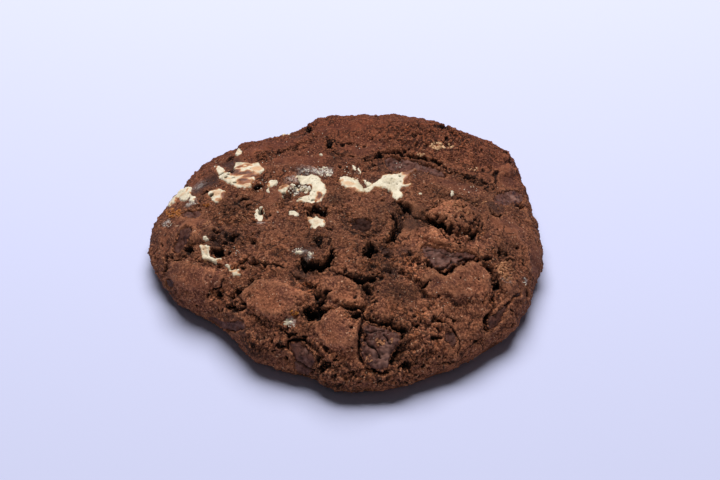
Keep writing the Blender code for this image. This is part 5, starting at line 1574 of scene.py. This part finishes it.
# %% Small bits
SMALL_BITS = [
    [267.2, 183, 271.9, 179, 276.8, 181, 276.6, 184.5, 271.2, 186.5, 267.7, 186.5],
    [266.4, 187.5, 269.4, 187.3, 269, 191.3, 266.8, 191],
    [289.2, 213, 292.7, 211, 296.9, 212.5, 298.8, 215, 296.7, 217.6, 292.5, 216.7, 290, 215.2],
    [203.4, 238.6, 206, 237.6, 208.6, 239.6, 207, 241.8, 204, 241],
    [225.4, 249.2, 228.4, 249.4, 228.4, 251.6, 225.6, 251.4],
    [284, 321, 287.3, 319.5, 292, 321.5, 292.2, 323.9, 287.3, 325.6, 284.4, 325.1],
    [189.6, 197.5, 192.5, 196.8, 195.8, 199.5, 194.5, 203, 190.5, 202],
    [290, 186, 294, 185.6, 300, 187.4, 303.6, 188.6, 303, 190, 297, 189.4, 290.5, 188],
    [290, 190, 292.5, 188.8, 295, 191, 293, 193.4, 290.4, 192.8],
    [304.6, 189.4, 306.6, 188.8, 308.8, 190.6, 307.4, 193, 305, 192],
    [352.2, 165.6, 354, 166, 356.6, 170, 356, 172, 353.6, 169.6],
    [358, 169.4, 359.4, 169, 361.8, 173, 361.2, 175, 359, 172.6],
    [235.8, 155, 236, 150, 238, 147.4, 240.4, 148.6, 241.4, 152.8, 239.2, 155],
    [294.8, 251.8, 298, 250, 303.5, 251, 303, 252.8, 298.8, 253.6, 295.4, 253.2],
    [307, 253.8, 310, 252.4, 312.6, 254, 312, 256, 309, 256],
    [361, 179.5, 364, 180.2, 370.5, 182.5, 371.5, 185, 368.5, 187, 365, 183.5],
    [417.5, 192.4, 420.5, 192, 421, 194.4, 418.4, 195],
    [449.6, 192, 453, 191.4, 454.6, 193.6, 451, 195],
    [320, 155.2, 322.6, 155, 322.8, 156.8, 320.4, 157],
    [281, 136.4, 284, 133.4, 289.2, 132.4, 288, 134.6, 284, 136.8],
]


BIT_STEP = 0.14
BIT_DEPTH = 0.7


def bit_face(flat, gap, relief):
    """Heights and masks of a small bit."""
    heights = relief["lift"] + 0.5 * edge_curve(gap - FULLER, 0.5) - 0.1
    heights += 0.12 * smooth_noise(relief["points"], 0.8, 77)
    toast = 0.7 * ramp(smooth_noise(relief["points"], 1.3, 78), 0.2, 0.7)
    return heights, {"toast": toast, "pore": np.zeros(len(flat))}


bm = bmesh.new()
for line in SMALL_BITS:
    bm.from_mesh(set_piece("bit", rounded(seen(line)), MARSHMALLOW_TEAR, BIT_STEP, bit_face, BIT_DEPTH))
bits_mesh = mesh_of(bm, "marshmallow_bits")
bits_mesh.shade_smooth()
bits = link("marshmallow_bits", bits_mesh)
bits.data.materials.append(marshmallow_material)
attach(bits, "root")
print("small bits:", len(SMALL_BITS))

# %% [markdown]
# ## Crumbs, grains and flecks
# The crust is strewn with its own crumbs, from sand to a millimetre. Each kind is one
# joined mesh: a ball of twenty faces, squashed, turned and dented for every crumb. Crumbs
# seen in the picture are dropped along the line of sight on whatever they hit first.

# %% Strewing
bm = bmesh.new()
bmesh.ops.create_icosphere(bm, subdivisions=1, radius=1.0)
BALL = np.array([v.co for v in bm.verts])
BALL_FACES = np.array([[v.index for v in face.verts] for face in bm.faces])
bm.free()
SUNK = 0.35                        # of a crumb's radius
DENT, DEEPEST_DENT = 0.22, 1.5     # of the radius, and how many times as deep at most
SQUASH = (0.6, 1.15)
strew_draw = np.random.default_rng(21)


def random_turns(count):
    """Evenly random turns, as matrices."""
    quarter = strew_draw.normal(size=(count, 4))
    w, x, y, z = (quarter / np.linalg.norm(quarter, axis=1)[:, None]).T
    rows = [1 - 2 * (y * y + z * z), 2 * (x * y - z * w), 2 * (x * z + y * w),
            2 * (x * y + z * w), 1 - 2 * (x * x + z * z), 2 * (y * z - x * w),
            2 * (x * z - y * w), 2 * (y * z + x * w), 1 - 2 * (x * x + y * y)]
    return np.stack(rows, axis=1).reshape(-1, 3, 3)


def strew(name, places, normals, sizes, material):
    """One mesh of crumbs at places, in metres; sizes are diameters in mm."""
    count = len(places)
    dents = strew_draw.normal(size=(count, len(BALL), 1)).clip(-DEEPEST_DENT, DEEPEST_DENT)
    dents = 1 + DENT * dents
    shapes = BALL * strew_draw.uniform(*SQUASH, (count, 1, 3)) * dents
    radii = np.asarray(sizes)[:, None] * MM / 2
    shapes = np.einsum("nij,nkj->nki", random_turns(count), shapes) * radii[:, None]
    middles = places - normals * radii * SUNK
    corners = (middles[:, None] + shapes).reshape(-1, 3)
    corners[:, 2] = np.maximum(corners[:, 2], 0)
    faces = BALL_FACES + len(BALL) * np.arange(count)[:, None, None]
    mesh = bpy.data.meshes.new(name)
    mesh.from_pydata(corners.tolist(), [], faces.reshape(-1, 3).tolist())
    add_values(mesh, "tone", np.repeat(strew_draw.uniform(0, 1, count), len(BALL)))
    mesh.materials.append(material)
    piece = link(name, mesh)
    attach(piece, "root")
    print(name, count, "crumbs,", len(mesh.polygons), "triangles")


tops = []
for thing in [dough] + chunks:
    faces = [face.vertices[:] for face in thing.data.polygons]
    tops.append(BVHTree.FromPolygons(vertex_array(thing.data).tolist(), faces))
EYE_PLACE = Vector(to_metres(EYE))


def nearest_hit(start, way):
    """The first dough or chocolate that a ray meets: place and normal, or nothing."""
    hits = [hit for hit in (top.ray_cast(start, way) for top in tops) if hit[0]]
    return min(hits, key=lambda hit: hit[3])[:2] if hits else None


def scattered(rows):
    """Places, normals and sizes of crumbs for rows of ovals in pixels."""
    places, normals, sizes = [], [], []
    for x, y, wide, high, count, small, large in rows:
        for _ in range(count):
            angle, reach = strew_draw.uniform(0, 2 * np.pi), np.sqrt(strew_draw.uniform(0, 1))
            pixel = (x + wide * reach * np.cos(angle), y + high * reach * np.sin(angle))
            hit = nearest_hit(EYE_PLACE, Vector(pixel_ray(pixel)).normalized())
            if hit:
                places.append(hit[0])
                normals.append(hit[1])
                sizes.append(strew_draw.uniform(small, large))
    return np.array(places), np.array(normals), sizes


def crumb_material(name, first, second, roughness):
    """Each crumb has its own tone between two colours."""
    material, tree, shader = new_material(name)
    shade, _, normal = use_grain(tree, 2400.0, 0.0002)
    tone = blend(tree, stored(tree, "tone"), first, second)
    tone = cover(tree, tone, CRUST_DARK, shade, 0.5, 0.35, 0.0, 0.5)
    set_sockets(tree, shader, {"Base Color": tone, "Normal": normal, "Roughness": roughness,
                               "Specular IOR Level": 0.2})
    return material


# %% [markdown]
# ## Crumbs of the crust
# Crumbs and sand of the dough's own colours lie all over the crust, and some more lie on
# the edges of the chunks, where dough and chocolate meet.

# %% Crumbs of the crust, everywhere
dough_places = vertex_array(dough.data)
dough_ways = np.array([v.normal for v in dough.data.vertices])
LOOSE_HEIGHT = 0.0012                   # metres over the floor, lowest place of a crumb
# name, how many, and the diameter in mm from and to
CRUMB_KINDS = (("crust_crumbs", 6500, 0.3, 0.7), ("crust_sand", 9900, 0.2, 0.36))
EDGE_SPACING, EDGE_REACH = 0.45, 0.45   # mm, along an outline and inwards from it
EDGE_SPREAD = (-0.4, 1.0)               # shares of the reach
EDGE_SIZES = (0.35, 0.85)               # mm
DROP = 5                                # mm over the crust from which a crumb is dropped
loose = dough_places[:, 2] > LOOSE_HEIGHT
crust_crumb_material = crumb_material("crust crumb", colour(90, 52, 38), colour(166, 106, 76), 0.9)


def over_edges(lines):
    """Places on and just inside outlines, with the surface's direction, for crumbs."""
    places, normals = [], []
    for line in lines:
        middle = line.mean(axis=0)
        for start, end in zip(line, np.roll(line, -1, axis=0)):
            for _ in range(int(np.linalg.norm(end - start) / EDGE_SPACING) + 1):
                spot = start + strew_draw.uniform(0, 1) * (end - start)
                inwards = (middle - spot) / np.linalg.norm(middle - spot)
                spot = (spot + inwards * EDGE_REACH * strew_draw.uniform(*EDGE_SPREAD))[None]
                way = crust_normals(spot)[0]
                above = Vector(to_metres(crust(spot)[0] + DROP * way))
                hit = nearest_hit(above, Vector(-way))
                if hit:
                    places.append(hit[0])
                    normals.append(hit[1])
    return np.array(places), np.array(normals)


edge_places, edge_ways = over_edges(chunk_lines.values())
for name, count, small, large in CRUMB_KINDS:
    chosen = strew_draw.choice(np.flatnonzero(loose), count, replace=False)
    places, ways = dough_places[chosen], dough_ways[chosen]
    sizes = small + (large - small) * strew_draw.uniform(0, 1, count) ** 2
    if name == "crust_crumbs":
        places = np.concatenate([places, edge_places])
        ways = np.concatenate([ways, edge_ways])
        sizes = np.concatenate([sizes, strew_draw.uniform(*EDGE_SIZES, len(edge_places))])
    strew(name, places, ways, sizes, crust_crumb_material)

# %% [markdown]
# ## Crumbs and flecks seen in the picture
# The picture shows groups of white flecks, biscuit crumbs, caramel bits and tan crumbs.
# Each row is an oval in pixels with how many lie in it and their sizes in mm.

# %% Crumbs and flecks seen in the picture
# pixel x, pixel y, half-width and half-height in pixels, how many, diameter in mm from and to
WHITE_FLECKS = [
    (317, 171, 15, 5, 50, 0.2, 0.5), (325, 172, 8, 5, 44, 0.3, 0.8), (296, 190, 8, 6, 16, 0.4, 0.9),
    (303, 189, 8, 4, 12, 0.5, 1.1), (264, 187, 8, 8, 9, 0.2, 0.5), (299, 251, 7, 4, 16, 0.2, 0.5),
    (310, 255, 5, 4, 14, 0.2, 0.45), (291, 323, 5, 5, 10, 0.2, 0.5), (168, 224, 5, 3, 16, 0.2, 0.45),
    (192, 204, 6, 5, 12, 0.2, 0.5), (234, 252, 10, 10, 10, 0.2, 0.4), (352, 170, 10, 6, 14, 0.2, 0.4),
    (408, 178, 14, 8, 14, 0.2, 0.4), (470, 190, 8, 5, 6, 0.25, 0.5), (525, 281, 3, 4, 10, 0.2, 0.5),
    (399, 165, 4, 3, 6, 0.25, 0.5), (320, 170, 60, 40, 30, 0.18, 0.35),
    (250, 170, 40, 30, 26, 0.18, 0.35), (345, 250, 150, 90, 70, 0.15, 0.28)]
GRAHAM_CRUMBS = [
    (437, 146, 7, 3.5, 34, 0.6, 1.3), (450.5, 146, 3, 2.2, 10, 0.5, 1.1),
    (421, 155, 4, 1.8, 9, 0.4, 0.8), (474, 169, 6, 1.6, 9, 0.3, 0.7), (285, 135, 4, 1.6, 6, 0.3, 0.6)]
CARAMEL_BITS = [
    (173, 213, 8, 4.5, 60, 0.5, 1.3), (206, 205, 3, 1.8, 12, 0.4, 0.9), (294, 313, 4, 2, 12, 0.4, 0.9)]
TAN_CRUMBS = [
    (506, 271, 8, 11, 80, 0.4, 1), (500, 266, 4, 3, 10, 0.5, 1.1), (380, 342, 5, 4, 12, 0.5, 1.1),
    (391, 341, 2.5, 2, 5, 0.4, 0.8), (368, 359, 3.5, 4, 9, 0.4, 0.9), (480, 200, 9, 8, 14, 0.3, 0.8),
    (210, 228, 9, 6, 14, 0.3, 0.8), (246, 218, 10, 8, 14, 0.3, 0.8), (455, 210, 14, 8, 26, 0.4, 0.9),
    (316, 271, 8, 3, 8, 0.3, 0.6), (262, 277, 24, 20, 26, 0.3, 0.6)]
# name, rows, name of the material, its two colours and its roughness
SEEN_CRUMBS = (
    ("white_flecks", WHITE_FLECKS, "white fleck", IVORY, colour(240, 232, 216), 0.6),
    ("graham_crumbs", GRAHAM_CRUMBS, "biscuit crumb", colour(200, 148, 106), colour(238, 198, 158), 0.85),
    ("caramel_bits", CARAMEL_BITS, "caramel bit", colour(142, 78, 30), colour(188, 118, 52), 0.4),
    ("tan_crumbs", TAN_CRUMBS, "tan crumb", colour(140, 90, 62), colour(204, 146, 106), 0.9))
for name, rows, *look in SEEN_CRUMBS:
    strew(name, *scattered(rows), crumb_material(*look))

# %% [markdown]
# ## The floor and the light
# The cookie lies on a pale lavender sheet. The light comes from above and a little
# behind, so that the front wall is darker than the top and a dark, soft shadow lies in
# front of the cookie. Weak light from all round keeps the pits readable.

# %% Floor, lights and surroundings
FLOOR = colour(205, 208, 238)
FLOOR_SIZE = 3.0              # metres
AIM = (0.0, 0.0, 0.01)        # what the lights face
SURROUNDINGS = (0.93, 0.95, 1.0, 1.0)
SURROUNDINGS_POWER = 0.06

bm = bmesh.new()
bmesh.ops.create_grid(bm, x_segments=2, y_segments=2, size=FLOOR_SIZE / 2)
floor = link("floor", mesh_of(bm, "floor"))
floor_material, tree, shader = new_material("pale sheet")
set_sockets(tree, shader, {"Base Color": FLOOR, "Roughness": 0.9, "Specular IOR Level": 0.1})
floor.data.materials.append(floor_material)


def add_light(name, place, size, power):
    """An oval soft light that faces the cookie."""
    light = bpy.data.lights.new(name, "AREA")
    light.shape = "ELLIPSE"
    light.size, light.size_y = size
    light.energy = power
    lamp = bpy.data.objects.new(name, light)
    lamp.location = place
    direction = np.array(place) - np.array(AIM)
    lamp.rotation_euler = Vector(direction).to_track_quat("Z", "Y").to_euler()
    bpy.context.scene.collection.objects.link(lamp)
    return lamp


# The cookie has a small bright light and weak fills, and the floor a very broad light, so
# that the shadow on the floor is deep at the cookie's foot and fades out softly.
cookie_group = bpy.data.collections.new("lit as the cookie")
for thing in bpy.context.scene.objects:
    if thing.type == "MESH" and thing is not floor:
        cookie_group.objects.link(thing)
floor_group = bpy.data.collections.new("lit as the floor")
floor_group.objects.link(floor)
# name, place and size in metres, power in watts, and what it lights
LIGHTS = (("key", (-0.05, 0.27, 0.58), (0.16, 0.16), 4.2, cookie_group),
          ("overhead", (0.0, 0.05, 0.9), (0.9, 0.9), 1.3, cookie_group),
          ("front", (0.1, -0.8, 0.30), (0.5, 0.5), 1.55, cookie_group),
          ("sky over the floor", (0.0, 0.50, 0.80), (0.85, 0.60), 13.4, floor_group))
for name, place, size, power, group in LIGHTS:
    add_light(name, place, size, power).light_linking.receiver_collection = group
world = bpy.data.worlds.new("surroundings")
world.use_nodes = True
background = world.node_tree.nodes["Background"]
set_sockets(world.node_tree, background, {"Color": SURROUNDINGS, "Strength": SURROUNDINGS_POWER})
bpy.context.scene.world = world
bpy.context.scene.view_settings.view_transform = "Standard"
